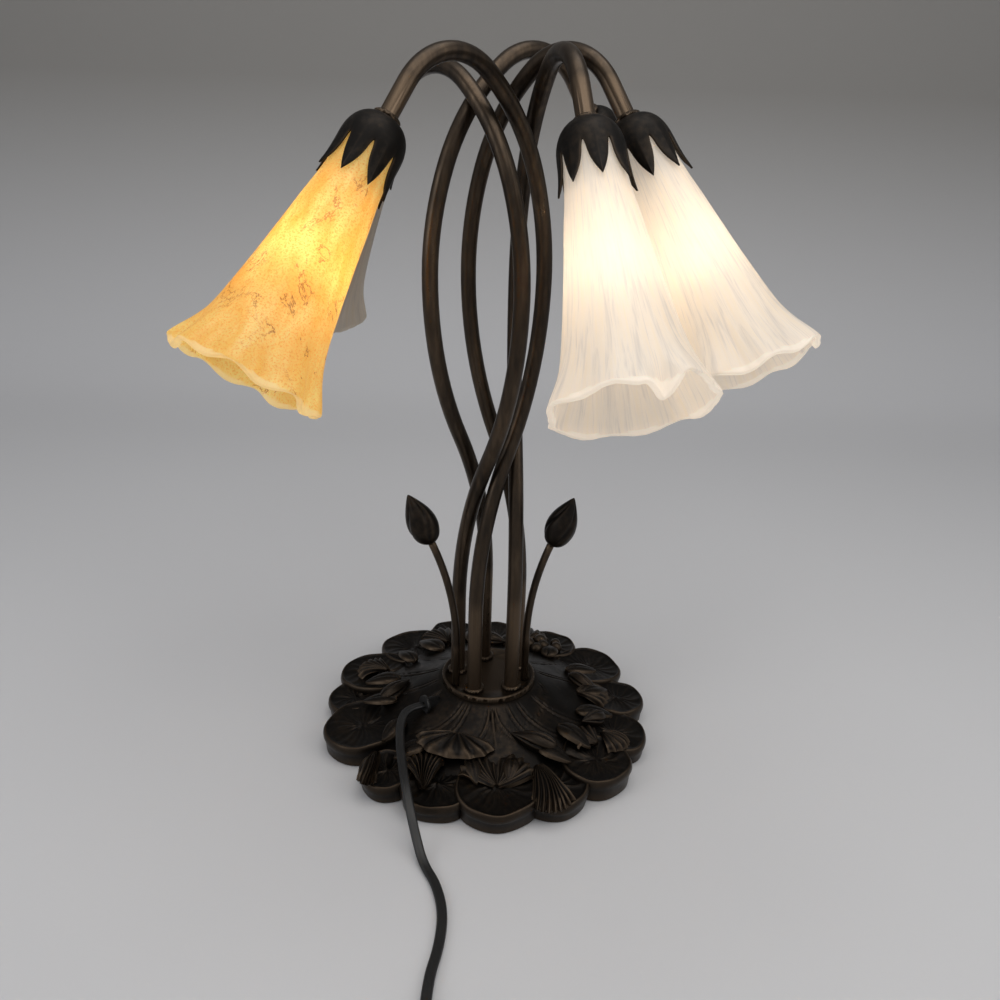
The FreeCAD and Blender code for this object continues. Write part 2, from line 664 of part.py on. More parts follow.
def ruffled_ring(z, radius, depth):
    """A closed curve round the axis that waves out and down as often as the shade has ruffles."""
    count = RUFFLES * 4
    points = []
    for k in range(count):
        angle = 2 * math.pi * k / count
        wave = depth * math.cos(RUFFLES * angle)
        r = radius + wave
        points.append(V(r * math.cos(angle), r * math.sin(angle), z - wave * RUFFLE_DROP))
    curve = Part.BSplineCurve()
    curve.interpolate(points, PeriodicFlag=True)
    return Part.Wire([curve.toShape()])


def shade():
    """Tulip of glass: outer and inner skins through the same rings, joined at the rim and at the neck."""
    outer = [ruffled_ring(z, r, d) for z, r, d in SHADE_PROFILE]
    inner = [ruffled_ring(z + (GLASS_WALL if k == 0 else 0), r - GLASS_WALL, d)
             for k, (z, r, d) in enumerate(SHADE_PROFILE) if k != 1]
    skins = Part.makeLoft(outer, False, False).Faces + Part.makeLoft(inner, False, False).Faces
    rim = Part.makeRuledSurface(outer[-1].Edges[0], inner[-1].Edges[0])
    hole_radius = SOCKET_RADIUS + NECK_HOLE_GAP
    hole_top = Part.Wire(Part.makeCircle(hole_radius, V(0, 0, SHADE_TOP)))
    hole_low = Part.Wire(Part.makeCircle(hole_radius, V(0, 0, FLANGE_BOTTOM)))
    top = Part.makeFace([outer[0], hole_top], "Part::FaceMakerBullseye")
    low = Part.makeFace([inner[0], hole_low], "Part::FaceMakerBullseye")
    hole = Part.makeRuledSurface(hole_top.Edges[0], hole_low.Edges[0])
    shell = Part.makeShell(skins + rim.Faces + [top, low] + hole.Faces)
    shell.sewShape()
    solid = Part.makeSolid(shell)
    if solid.Volume < 0:
        solid.reverse()
    return solid


def build_heads():
    cup, holder, cap, envelope, glass = calyx(), socket(), bulb_cap(), bulb_glass(), shade()
    nut = hexagon(LOCK_NUT_RADIUS, SOCKET_NUT_HEIGHT, SOCKET_NUT_TOP, TUBE_HOLE)
    ring = rolled_ring(RING_RADIUS, SOCKET_RADIUS + FIT_GAP, RING_HEIGHT, FLANGE_BOTTOM)
    for arm in ARMS:
        save(f"calyx_{arm[0]}", at_head(cup, arm))
        save(f"socket_{arm[0]}", at_head(holder, arm))
        save(f"bulb_cap_{arm[0]}", at_head(cap, arm))
        save(f"bulb_glass_{arm[0]}", at_head(envelope, arm))
        save(f"shade_{arm[0]}", at_head(glass, arm))
    save("socket_nuts", [at_head(nut, arm) for arm in ARMS])
    save("shade_rings", [at_head(ring, arm) for arm in ARMS])


# ---------------------------------------------------------------- buds

def build_buds():
    nuts = []
    for name, azimuth, distance, straight, radius, turn, heading in BUD_STEMS:
        foot = polar(distance, azimuth, NUT_TOP_Z - BUD_NUT_HEIGHT - TUBE_TAIL)
        stem = Bend(foot)
        stem.run(STEM_FLOOR_Z - foot.z + straight)
        stem.turn(radius, turn, heading)
        end, along = stem.point, stem.direction(heading)
        save(f"bud_stem_{name}", stem.sweep(BUD_STEM_RADIUS))
        bud = bud_solid(BUD_LENGTH, BUD_RADIUS)
        level = along.cross(UP).normalize()
        bud.Placement = FreeCAD.Placement(end, FreeCAD.Rotation(level, V(), along, "ZXY"))
        save(f"bud_{name}", bud)
        nut_z = CAST_TOP_UNDERSIDE - BUD_NUT_HEIGHT
        nuts.append(hexagon(BUD_NUT_RADIUS, BUD_NUT_HEIGHT, nut_z, BUD_STEM_RADIUS + FIT_GAP / 3)
                    .translated(polar(distance, azimuth)))
    save("bud_nuts", nuts)


# ---------------------------------------------------------------- flex, switch and plug

def rounded_route(points):
    """Straight runs joined by tangent arcs, each as large as its two runs allow. Returns the wire and the radii."""
    edges, radii = [], []
    last = points[0]
    for k in range(1, len(points) - 1):
        before, here, after = points[k - 1], points[k], points[k + 1]
        a, b = (before - here), (after - here)
        shorter = min(a.Length, b.Length)
        turn = math.pi - a.getAngle(b)
        setback = 0.45 * shorter
        radius = setback / math.tan(turn / 2)
        radii.append(radius)
        a.normalize()
        b.normalize()
        first, second = here + a * setback, here + b * setback
        middle_direction = (a + b).normalize()
        centre_distance = radius / math.cos(turn / 2)
        middle = here + middle_direction * (centre_distance - radius)
        edges.append(Part.makeLine(last, first))
        edges.append(Part.Arc(first, middle, second).toShape())
        last = second
    edges.append(Part.makeLine(last, points[-1]))
    return Part.Wire(edges), radii


def biarc(p0, t0, p1, t1):
    """Two arcs from one point and direction to another, tangent where they meet."""
    v = p1 - p0
    t = t0 + t1
    a = 2 * (1 - t0.dot(t1))
    b = 2 * v.dot(t)
    c = -v.dot(v)
    d = (-b + math.sqrt(b * b - 4 * a * c)) / (2 * a) if abs(a) > 1e-9 else -c / b
    joint = (p0 + p1 + (t0 - t1) * d) * 0.5
    edges = []
    for start, direction, end in ((p0, t0, joint), (joint, None, p1)):
        if direction is None:
            direction = ((p1 - t1 * d) - (p0 + t0 * d)).normalize()
        chord = end - start
        edges.append(tangent_arc(start, direction, end, chord))
    return edges


def tangent_arc(start, direction, end, chord):
    """The arc that leaves the start in a direction and reaches the end."""
    side = chord - direction * chord.dot(direction)
    if side.Length < 1e-6:
        return Part.makeLine(start, end)
    side.normalize()
    radius = chord.dot(chord) / (2 * chord.dot(side))
    centre = start + side * radius
    half = (start + end) * 0.5 - centre
    middle = centre + half.normalize() * radius
    return Part.Arc(start, middle, end).toShape()


def coil_point(turns):
    """A point of the coil after so many turns: in on the floor, up a layer at the middle, and out again."""
    half = COIL_TURNS / 2
    inward = min(turns, COIL_TURNS - turns)
    radius = COIL_OUTER - COIL_PITCH * inward
    climb = min(max((turns - half) / COIL_CLIMB + 0.5, 0.0), 1.0)
    z = FLEX_THICKNESS / 2 + 0.1 + COIL_LAYER * climb * climb * (3 - 2 * climb)
    return COIL_CENTRE + polar(radius, COIL_START + 360 * turns, z)


def coil_tangent(turns):
    step = 1e-4
    low, high = max(turns - step, 0.0), min(turns + step, COIL_TURNS)
    return (coil_point(high) - coil_point(low)).normalize()


def coil_gap():
    """The least gap between two turns, measured on points of the coil's line."""
    steps = round(COIL_TURNS * 48)
    points = [coil_point(COIL_TURNS * k / steps) for k in range(steps + 1)]
    gaps = []
    for i, a in enumerate(points):
        for b in points[i + 12:]:
            beside = math.hypot(a.x - b.x, a.y - b.y) - FLEX_WIDTH
            above = abs(a.z - b.z) - FLEX_THICKNESS
            gaps.append(max(beside, above))
    return min(gaps)


def flat_section(point, direction, width, thickness):
    """An eight-sided outline of the flat flex, square to its direction."""
    side = direction.cross(UP).normalize()
    up = side.cross(direction).normalize()
    w, t = width / 2, thickness / 2
    c = t * 0.55
    corners = [(w, t - c), (w - c, t), (c - w, t), (-w, t - c), (-w, c - t), (c - w, -t), (w - c, -t), (w, c - t)]
    points = [point + side * x + up * y for x, y in corners]
    return Part.Wire(Part.makePolygon(points + points[:1]))


def build_flex():
    wire, radii = rounded_route(FLEX_ROUTE)
    print("flex route radii", [round(r, 1) for r in radii], "length", round(wire.Length, 1))
    start = FLEX_ROUTE[0]
    circle = Part.Wire(Part.Circle(start, FLEX_ROUTE[1] - FLEX_ROUTE[0], FLEX_TUBE_RADIUS).toShape())
    lead = wire.makePipeShell([circle], True, False)
    section = math.pi * FLEX_TUBE_RADIUS ** 2
    print("lead volume", round(lead.Volume), "section times length", round(section * wire.Length))
    save("cord_lead", lead)

    start = FLEX_ROUTE[-1] + V(0, -SWITCH_LENGTH, 0)
    edges = biarc(start, V(0, -1, 0), coil_point(0), coil_tangent(0))
    quarters = round(COIL_TURNS * 4)
    for k in range(quarters):
        a, b = k / 4, (k + 1) / 4
        edges += biarc(coil_point(a), coil_tangent(a), coil_point(b), coil_tangent(b))
    edges += biarc(coil_point(COIL_TURNS), coil_tangent(COIL_TURNS), PLUG_START, V(1, 0, 0))
    path = Part.Wire(edges)
    coil = path.makePipeShell([flat_section(start, V(0, -1, 0), FLEX_WIDTH, FLEX_THICKNESS)], True, False)
    print("coil length", round(path.Length, 1), "least gap", round(coil_gap(), 2))
    print("flex length", round(wire.Length + SWITCH_LENGTH + path.Length, 1))
    save("cord_coil", coil)


def build_bushing():
    """Strain relief bushing in the casting's flank: a flange outside, a sleeve through the wall."""
    mouth, outward = bushing_axis()
    hole = FLEX_TUBE_RADIUS + FIT_GAP
    sleeve = tube_ring(BUSHING_RADIUS, hole, BUSHING_LENGTH, -BUSHING_LENGTH - 2.5)
    flange = tube_ring(BUSHING_FLANGE, hole, 2.5, -2.5)
    piece = sleeve.fuse(flange).removeSplitter()
    piece.Placement = FreeCAD.Placement(mouth, FreeCAD.Rotation(UP, outward))
    save("cord_bushing", piece)


def rounded_slab(length, width, corner, low, high):
    """A slab along Y with rounded corners, its inlet end at the origin."""
    half = width / 2
    straight = half - corner
    outline = [
        (V(-half, -corner), V(-half, corner - length)), (V(-straight, -length), V(straight, -length)),
        (V(half, corner - length), V(half, -corner)), (V(straight, 0), V(-straight, 0)),
    ]
    edges = []
    for k, (a, b) in enumerate(outline):
        c = outline[(k + 1) % 4][0]
        edges.append(Part.makeLine(a, b))
        along = (b - a).normalize()
        centre = b + V(-along.y, along.x) * corner
        edges.append(Part.Arc(b, centre + (V(along.y, -along.x) + along).normalize() * corner, c).toShape())
    slab = Part.Face(Part.Wire(edges)).extrude(V(0, 0, high - low))
    slab.translate(V(0, 0, low))
    return slab


def build_switch():
    """Rotary switch: two half shells, a notched wheel on a pin between them, and the screw that holds them."""
    wheel_at = V(SWITCH_WIDTH / 2 + WHEEL_PROUD - WHEEL_RADIUS, -SWITCH_LENGTH / 2, 0)
    wheel_low = SWITCH_SPLIT - WHEEL_THICKNESS / 2
    chamber_low = wheel_low - RUN_GAP
    chamber_height = WHEEL_THICKNESS + 2 * RUN_GAP
    chamber = Part.makeCylinder(WHEEL_RADIUS + RUN_GAP, chamber_height, wheel_at + V(0, 0, chamber_low))
    base = rounded_slab(SWITCH_LENGTH, SWITCH_WIDTH, SWITCH_CORNER, 0, SWITCH_SPLIT).cut(chamber)
    base = base.fuse(Part.makeCylinder(WHEEL_PIN_RADIUS, chamber_height, wheel_at + V(0, 0, chamber_low)))
    cover = rounded_slab(SWITCH_LENGTH, SWITCH_WIDTH, SWITCH_CORNER, SWITCH_SPLIT, SWITCH_HEIGHT)
    top_edges = [e for e in cover.Edges if all(abs(v.Point.z - SWITCH_HEIGHT) < 1e-6 for v in e.Vertexes)]
    cover = cover.makeChamfer(SWITCH_EASE, top_edges).cut(chamber)
    wheel = tube_ring(WHEEL_RADIUS, WHEEL_PIN_RADIUS + PIN_GAP, WHEEL_THICKNESS, wheel_low)
    notches = [
        Part.makeCylinder(WHEEL_NOTCH_RADIUS, WHEEL_THICKNESS, polar(WHEEL_RADIUS, 360 / WHEEL_NOTCHES * k, wheel_low))
        for k in range(WHEEL_NOTCHES)
    ]
    wheel = wheel.cut(notches)
    wheel.translate(wheel_at)

    screw_at = V(0, -SWITCH_LENGTH / 2 - SWITCH_SCREW_PLACE, 0)
    head_low = SWITCH_HEIGHT - SWITCH_SCREW_HEAD_HEIGHT
    tip = head_low - SWITCH_SCREW_LENGTH
    screw = Part.makeCylinder(SWITCH_SCREW_HEAD, SWITCH_SCREW_HEAD_HEIGHT, screw_at + V(0, 0, head_low))
    screw = screw.fuse(Part.makeCylinder(SWITCH_SCREW_RADIUS, SWITCH_SCREW_LENGTH, screw_at + V(0, 0, tip)))
    shank_hole = Part.makeCylinder(SWITCH_SCREW_RADIUS + PIN_GAP, SWITCH_HEIGHT, screw_at + V(0, 0, tip))
    head_hole = Part.makeCylinder(SWITCH_SCREW_HEAD + PIN_GAP, SWITCH_HEIGHT, screw_at + V(0, 0, head_low))
    base = base.cut(shank_hole)
    cover = cover.cut([shank_hole, head_hole])

    place = V(FLEX_ROUTE[-1].x, FLEX_ROUTE[-1].y, 0)
    save("switch_base", base.translated(place))
    save("switch_cover", cover.translated(place))
    save("switch_wheel", wheel.translated(place))
    save("switch_screw", screw.removeSplitter().translated(place))


def eight_sided(x, width, height, bevel):
    """An upright eight-sided outline, square to X."""
    w, h = width / 2, height / 2
    corners = [(w, h - bevel), (w - bevel, h), (bevel - w, h), (-w, h - bevel),
               (-w, bevel - h), (bevel - w, -h), (w - bevel, -h), (w, bevel - h)]
    points = [V(x, y, z) for y, z in corners]
    return Part.makePolygon(points + points[:1])


def build_plug():
    """Moulded plug that widens to its face, with two flat blades seated in it."""
    body = Part.makeLoft([
        eight_sided(0, PLUG_NECK_WIDTH, PLUG_NECK_HEIGHT, PLUG_BEVEL / 2),
        eight_sided(PLUG_LENGTH * 0.45, PLUG_WIDTH * 0.85, PLUG_HEIGHT * 0.85, PLUG_BEVEL),
        eight_sided(PLUG_LENGTH, PLUG_WIDTH, PLUG_HEIGHT, PLUG_BEVEL),
    ], True, True)
    blades = []
    for side in (-1, 1):
        corner = V(PLUG_LENGTH - BLADE_SEAT, side * BLADE_SPACING / 2 - BLADE_THICKNESS / 2, -BLADE_WIDTH / 2)
        blade = Part.makeBox(BLADE_SEAT + BLADE_LENGTH, BLADE_THICKNESS, BLADE_WIDTH, corner)
        tip_edges = [e for e in blade.Edges
                     if all(abs(v.Point.x - PLUG_LENGTH - BLADE_LENGTH) < 1e-6 for v in e.Vertexes)
                     and abs(e.Vertexes[0].Point.y - e.Vertexes[-1].Point.y) > 1e-6]
        blades.append(blade.makeFillet(1.2, tip_edges))
    body = body.cut(blades)
    save("plug_body", body.translated(PLUG_START))
    save("plug_blades", [blade.translated(PLUG_START) for blade in blades])


# ---------------------------------------------------------------- wiring in the base

def build_wiring():
    """Terminal block on the bottom plate, with a lead to each arm and one to the flex."""
    turn = FOOT_START + 36
    corner_radius = TERMINAL_APOTHEM / math.cos(math.radians(36))
    corners = [polar(corner_radius, turn + 72 * k, PLATE_TOP) for k in range(6)]
    save("terminal_block", Part.Face(Part.makePolygon(corners)).extrude(V(0, 0, TERMINAL_HEIGHT)))
    entry = PLATE_TOP + TERMINAL_ENTRY
    leads = []
    for arm in ARMS:
        azimuth = FOOT_START + 72 * arm[1]
        inner = polar(TERMINAL_APOTHEM, azimuth, entry)
        bend_in = polar(FOOT_RING - LEAD_BEND, azimuth, entry)
        bend_out = polar(FOOT_RING, azimuth, entry + LEAD_BEND)
        slant = LEAD_BEND * (1 - math.sqrt(0.5))
        middle = polar(FOOT_RING - slant, azimuth, entry + slant)
        top = polar(FOOT_RING, azimuth, TUBE_BOTTOM_Z + LEAD_IN_TUBE)
        wire = Part.Wire([
            Part.makeLine(inner, bend_in), Part.Arc(bend_in, middle, bend_out).toShape(), Part.makeLine(bend_out, top),
        ])
        circle = Part.Wire(Part.Circle(inner, bend_in - inner, LEAD_RADIUS).toShape())
        leads.append(wire.makePipeShell([circle], True, False))
    save("arm_leads", leads)


def main():
    os.makedirs("parts", exist_ok=True)
    build_base()
    save("stem_plate", stem_plate())
    build_arms()
    build_heads()
    build_buds()
    build_wiring()
    build_bushing()
    build_flex()
    build_switch()
    build_plug()


main()
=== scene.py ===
"""Dresses the tulip shade table lamp: glass shades, bronze arms, lily pad casting, flex and stage."""

import contextlib
import json
import math

import bpy
from mathutils import Matrix, Vector

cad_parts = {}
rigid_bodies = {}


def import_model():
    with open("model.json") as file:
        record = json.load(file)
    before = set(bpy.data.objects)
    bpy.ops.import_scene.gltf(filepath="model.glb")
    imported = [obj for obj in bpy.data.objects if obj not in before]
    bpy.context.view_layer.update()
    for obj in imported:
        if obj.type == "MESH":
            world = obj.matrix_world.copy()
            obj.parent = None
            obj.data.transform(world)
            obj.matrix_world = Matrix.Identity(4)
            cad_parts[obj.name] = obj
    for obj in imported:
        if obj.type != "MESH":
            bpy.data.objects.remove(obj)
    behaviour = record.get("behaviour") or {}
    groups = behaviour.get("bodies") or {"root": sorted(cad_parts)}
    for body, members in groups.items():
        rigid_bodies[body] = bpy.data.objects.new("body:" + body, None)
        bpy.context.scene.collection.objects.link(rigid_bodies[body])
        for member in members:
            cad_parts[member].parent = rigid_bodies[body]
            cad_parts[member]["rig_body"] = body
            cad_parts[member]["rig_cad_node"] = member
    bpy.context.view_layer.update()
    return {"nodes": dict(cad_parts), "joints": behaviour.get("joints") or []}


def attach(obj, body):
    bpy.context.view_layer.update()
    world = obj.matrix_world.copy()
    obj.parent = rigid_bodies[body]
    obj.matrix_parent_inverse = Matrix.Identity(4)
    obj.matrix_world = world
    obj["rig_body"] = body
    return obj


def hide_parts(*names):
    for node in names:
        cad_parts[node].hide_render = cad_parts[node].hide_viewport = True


bl_info = {
    "name": "Tulip shade table lamp",
    "version": (1, 0, 0),
    "blender": (4, 5, 0),
    "location": "View3D > Sidebar > Tulip lamp",
    "description": "Builds the finish of a five-light lamp with tulip shades round its packed frame",
    "category": "Object",
}

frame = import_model()
BODY = frame["joints"][0]["parent"]
WHEEL_BODY = frame["joints"][0]["child"]
MM = 0.001
MERGE_DISTANCE = 1e-6      # closer points are one
UP = Vector((0, 0, 1))

# Where each head hangs, in degrees: the azimuth that its arm's crook turns to, and how far the crook's end
# has turned from upright.
CROOK_AZIMUTH = {"right": -46, "right_back": 40, "left_back": 135, "left_front": 225, "front": 284}
CROOK_TURN = 142.8
UNLIT = ("left_back", "right_back")
SOCKET_TOP = 5.0 * MM      # the socket's top face, from the calyx's top

# The flex's route, as the frame holds it, from the bushing's mouth to the switch.
FLEX_ROUTE = [
    (-0.0540, -0.0360, 0.0385), (-0.0670, -0.0440, 0.0410), (-0.0710, -0.0610, 0.0375),
    (-0.0690, -0.0820, 0.0345), (-0.0650, -0.1050, 0.0330), (-0.0600, -0.1280, 0.0315),
    (-0.0545, -0.1480, 0.0235), (-0.0485, -0.1630, 0.0105), (-0.0425, -0.1780, 0.0026),
    (-0.0320, -0.1960, 0.0025), (-0.0255, -0.2210, 0.0026), (-0.0265, -0.2490, 0.0025),
    (-0.0320, -0.2760, 0.0042), (-0.0320, -0.3030, 0.0042),
]
SWITCH_END = Vector((-0.032, -0.353, 0.0042))
COIL_CENTRE = Vector((0.026, -0.398, 0))
COIL_OUTER = 0.052
COIL_PITCH = 0.0086
COIL_LAYER = 0.005
COIL_FLOOR = 0.0019
COIL_TURNS = 5.25
COIL_CLIMB = 0.25
COIL_START = 180
COIL_STEPS = 16            # route points in a turn
PLUG_START = Vector((0.062, -0.447, 0.008))


# ---------------- sizes and colours

def length_field(name, description, default, least=0.001):
    """A length in metres, for the panel."""
    return bpy.props.FloatProperty(
        name=name, description=description, default=default, min=least, unit="LENGTH")


def amount_field(name, description, default, unit="NONE"):
    """A number from 0 up, for the panel."""
    return bpy.props.FloatProperty(name=name, description=description, default=default, min=0, unit=unit)


def colour_field(name, description, default):
    """A colour, for the panel."""
    return bpy.props.FloatVectorProperty(
        name=name, description=description, default=default, subtype="COLOR")


class LampGlass(bpy.types.PropertyGroup):
    """Sizes and colours of the shades and bulbs."""

    wall: length_field("Wall", "Thickness of the glass", 0.0022)
    bead: length_field("Bead", "Thickness of the rolled rim", 0.0034)
    ruffle: length_field("Ruffle", "Depth of the waves at the mouth", 0.0026, 0)
    amber: colour_field("Amber", "Body colour of the amber shade", (0.90, 0.62, 0.19))
    white: colour_field("White", "Body colour of the white shades", (0.85, 0.79, 0.71))
    bulb_light: amount_field("Bulb light", "Brightness of a lit bulb at its filament", 19.0)
    glow: amount_field("Glow", "Light that a lit shade's milky wall spreads", 0.17)


class LampMetal(bpy.types.PropertyGroup):
    """Colours of the bronze, and the petals of a calyx."""

    dark: colour_field("Dark", "Patina in the hollows", (0.0105, 0.0085, 0.007))
    warm: colour_field("Warm", "Rubbed metal", (0.072, 0.050, 0.032))
    petals: bpy.props.IntProperty(name="Petals", description="Petals of a calyx", default=8, min=3)


class LampFlex(bpy.types.PropertyGroup):
    """Sizes of the flat twin flex."""

    width: length_field("Width", "Across both cores", 0.0072, 0.002)
    thickness: length_field("Thickness", "Of one core", 0.0036)


class LampStage(bpy.types.PropertyGroup):
    """Floor, backdrop and lights."""

    floor: colour_field("Floor", "Colour of the floor", (0.60, 0.60, 0.61))
    wall: colour_field("Wall", "Colour of the backdrop", (0.27, 0.26, 0.245))
    key: amount_field("Key", "Power of the large lamp overhead", 7.5, "POWER")
    fill: amount_field("Fill", "Strength of the light from all round", 0.5)


# ---------------- modelling helpers

def nothing():
    """Leave object mode and deselect everything."""
    if bpy.context.object and bpy.context.object.mode != "OBJECT":
        bpy.ops.object.mode_set(mode="OBJECT")
    bpy.ops.object.select_all(action="DESELECT")


def only(piece):
    """Leave object mode and pick one object."""
    nothing()
    piece.select_set(True)
    bpy.context.view_layer.objects.active = piece


@contextlib.contextmanager
def editing(piece):
    """Edit mode on one piece, with all of it selected."""
    only(piece)
    bpy.ops.object.mode_set(mode="EDIT")
    bpy.ops.mesh.select_all(action="SELECT")
    yield
    bpy.ops.object.mode_set(mode="OBJECT")


def apply_modifier(piece, kind, **settings):
    """Add a modifier, set it and apply it."""
    only(piece)
    modifier = piece.modifiers.new(kind.title(), kind)
    for name, value in settings.items():
        setattr(modifier, name, value)
    bpy.ops.object.modifier_apply(modifier=modifier.name)


def subdivide(piece):
    """Round a piece by one subdivision."""
    apply_modifier(piece, "SUBSURF", levels=1, render_levels=1)


def place(piece, matrix):
    """Put a piece that was made at the origin where it belongs, with its place in its mesh."""
    piece.matrix_world = matrix
    only(piece)
    bpy.ops.object.transform_apply(location=True, rotation=True, scale=True)


def joined(pieces):
    """One object from several."""
    nothing()
    for piece in pieces:
        piece.select_set(True)
    bpy.context.view_layer.objects.active = pieces[0]
    bpy.ops.object.join()
    return pieces[0]


def finished(piece, name, material, body=None, replaced=(), angle=40):
    """Name a piece, shade it, give it its finish and let it ride on its body."""
    piece.name = name
    piece.data.name = name
    only(piece)
    if angle:
        bpy.ops.object.shade_smooth_by_angle(angle=math.radians(angle))
    else:
        bpy.ops.object.shade_smooth()
    piece.data.materials.clear()
    piece.data.materials.append(material)
    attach(piece, body or BODY)
    if replaced:
        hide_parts(*replaced)
    return piece


def merged(piece, distance=MERGE_DISTANCE):
    """Merge doubles and point the faces outwards."""
    with editing(piece):
        bpy.ops.mesh.remove_doubles(threshold=distance)
        bpy.ops.mesh.normals_make_consistent(inside=False)


def flip_faces(piece):
    """Turn all faces of an open skin round."""
    with editing(piece):
        bpy.ops.mesh.flip_normals()


def smooth_copy(node, name, material, body=None, angle=35):
    """A merged and smooth-shaded copy of one of the frame's pieces, which stands for it."""
    only(frame["nodes"][node])
    bpy.ops.object.duplicate()
    copy = bpy.context.view_layer.objects.active
    copy.parent = None
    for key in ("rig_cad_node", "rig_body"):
        del copy[key]
    with editing(copy):
        bpy.ops.mesh.remove_doubles(threshold=MERGE_DISTANCE)
    return finished(copy, name, material, body, (node,), angle)


def turned(profile, segments, closed_ends=True):
    """A skin turned round the Z axis from (radius, height) rings: a circle, extruded from ring to ring."""
    nothing()
    bpy.ops.mesh.primitive_circle_add(vertices=segments, radius=1.0, fill_type="NOTHING")
    piece = bpy.context.view_layer.objects.active
    radius, z = profile[0]
    with editing(piece):
        bpy.ops.transform.resize(value=(radius, radius, 1))
        bpy.ops.transform.translate(value=(0, 0, z))
        for next_radius, next_z in profile[1:]:
            bpy.ops.mesh.extrude_region_move(TRANSFORM_OT_translate={"value": (0, 0, next_z - z)})
            scale = next_radius / radius
            bpy.ops.transform.resize(value=(scale, scale, 1))
            radius, z = next_radius, next_z
        if closed_ends:
            bpy.ops.mesh.select_all(action="SELECT")
            bpy.ops.mesh.fill_holes(sides=0)
    return piece


def gridded(columns, rows, shape):
    """A grid whose points are moved by shape(u, v), with u and v from 0 to 1."""
    nothing()
    bpy.ops.mesh.primitive_grid_add(x_subdivisions=columns, y_subdivisions=rows, size=1)
    piece = bpy.context.view_layer.objects.active
    for vertex in piece.data.vertices:
        vertex.co = Vector(shape(vertex.co.x + 0.5, vertex.co.y + 0.5))
    return piece


def move_points(piece, rule):
    """Move each vertex of a mesh by a rule from old place to new."""
    for vertex in piece.data.vertices:
        vertex.co = Vector(rule(vertex.co))


def ease(value, low, high):
    """0 below low, 1 above high, and smooth between."""
    t = min(max((value - low) / (high - low), 0.0), 1.0)
    return t * t * (3 - 2 * t)


def polar(radius, degrees, z=0.0):
    """A point at an azimuth round the lamp's axis."""
    a = math.radians(degrees)
    return Vector((radius * math.cos(a), radius * math.sin(a), z))


# ---------------- places taken from the frame

def area_centre(mesh):
    """The centre of a closed surface, weighed by area."""
    total = sum(p.area for p in mesh.polygons)
    return sum((p.center * p.area for p in mesh.polygons), Vector()) / total


def head_matrix(arm):
    """From a head's own frame, Z down its axis from the calyx's top, to the lamp's frame."""
    azimuth, turn = math.radians(CROOK_AZIMUTH[arm]), math.radians(CROOK_TURN)
    down = Vector((math.sin(turn) * math.cos(azimuth), math.sin(turn) * math.sin(azimuth), math.cos(turn)))
    mesh = frame["nodes"][f"socket_{arm}"].data
    centre = area_centre(mesh)
    top = min(v.co.dot(down) for v in mesh.vertices)
    origin = centre + down * (top - SOCKET_TOP - centre.dot(down))
    level = down.cross(UP).normalized()
    side = down.cross(level)
    rotation = Matrix((level, side, down)).transposed().to_4x4()
    return Matrix.Translation(origin) @ rotation


# ---------------- materials

COLOUR_MIX_INPUTS = (0, 6, 7)      # factor, A and B of a mix node that mixes colours
COLOUR_MIX_RESULT = 2


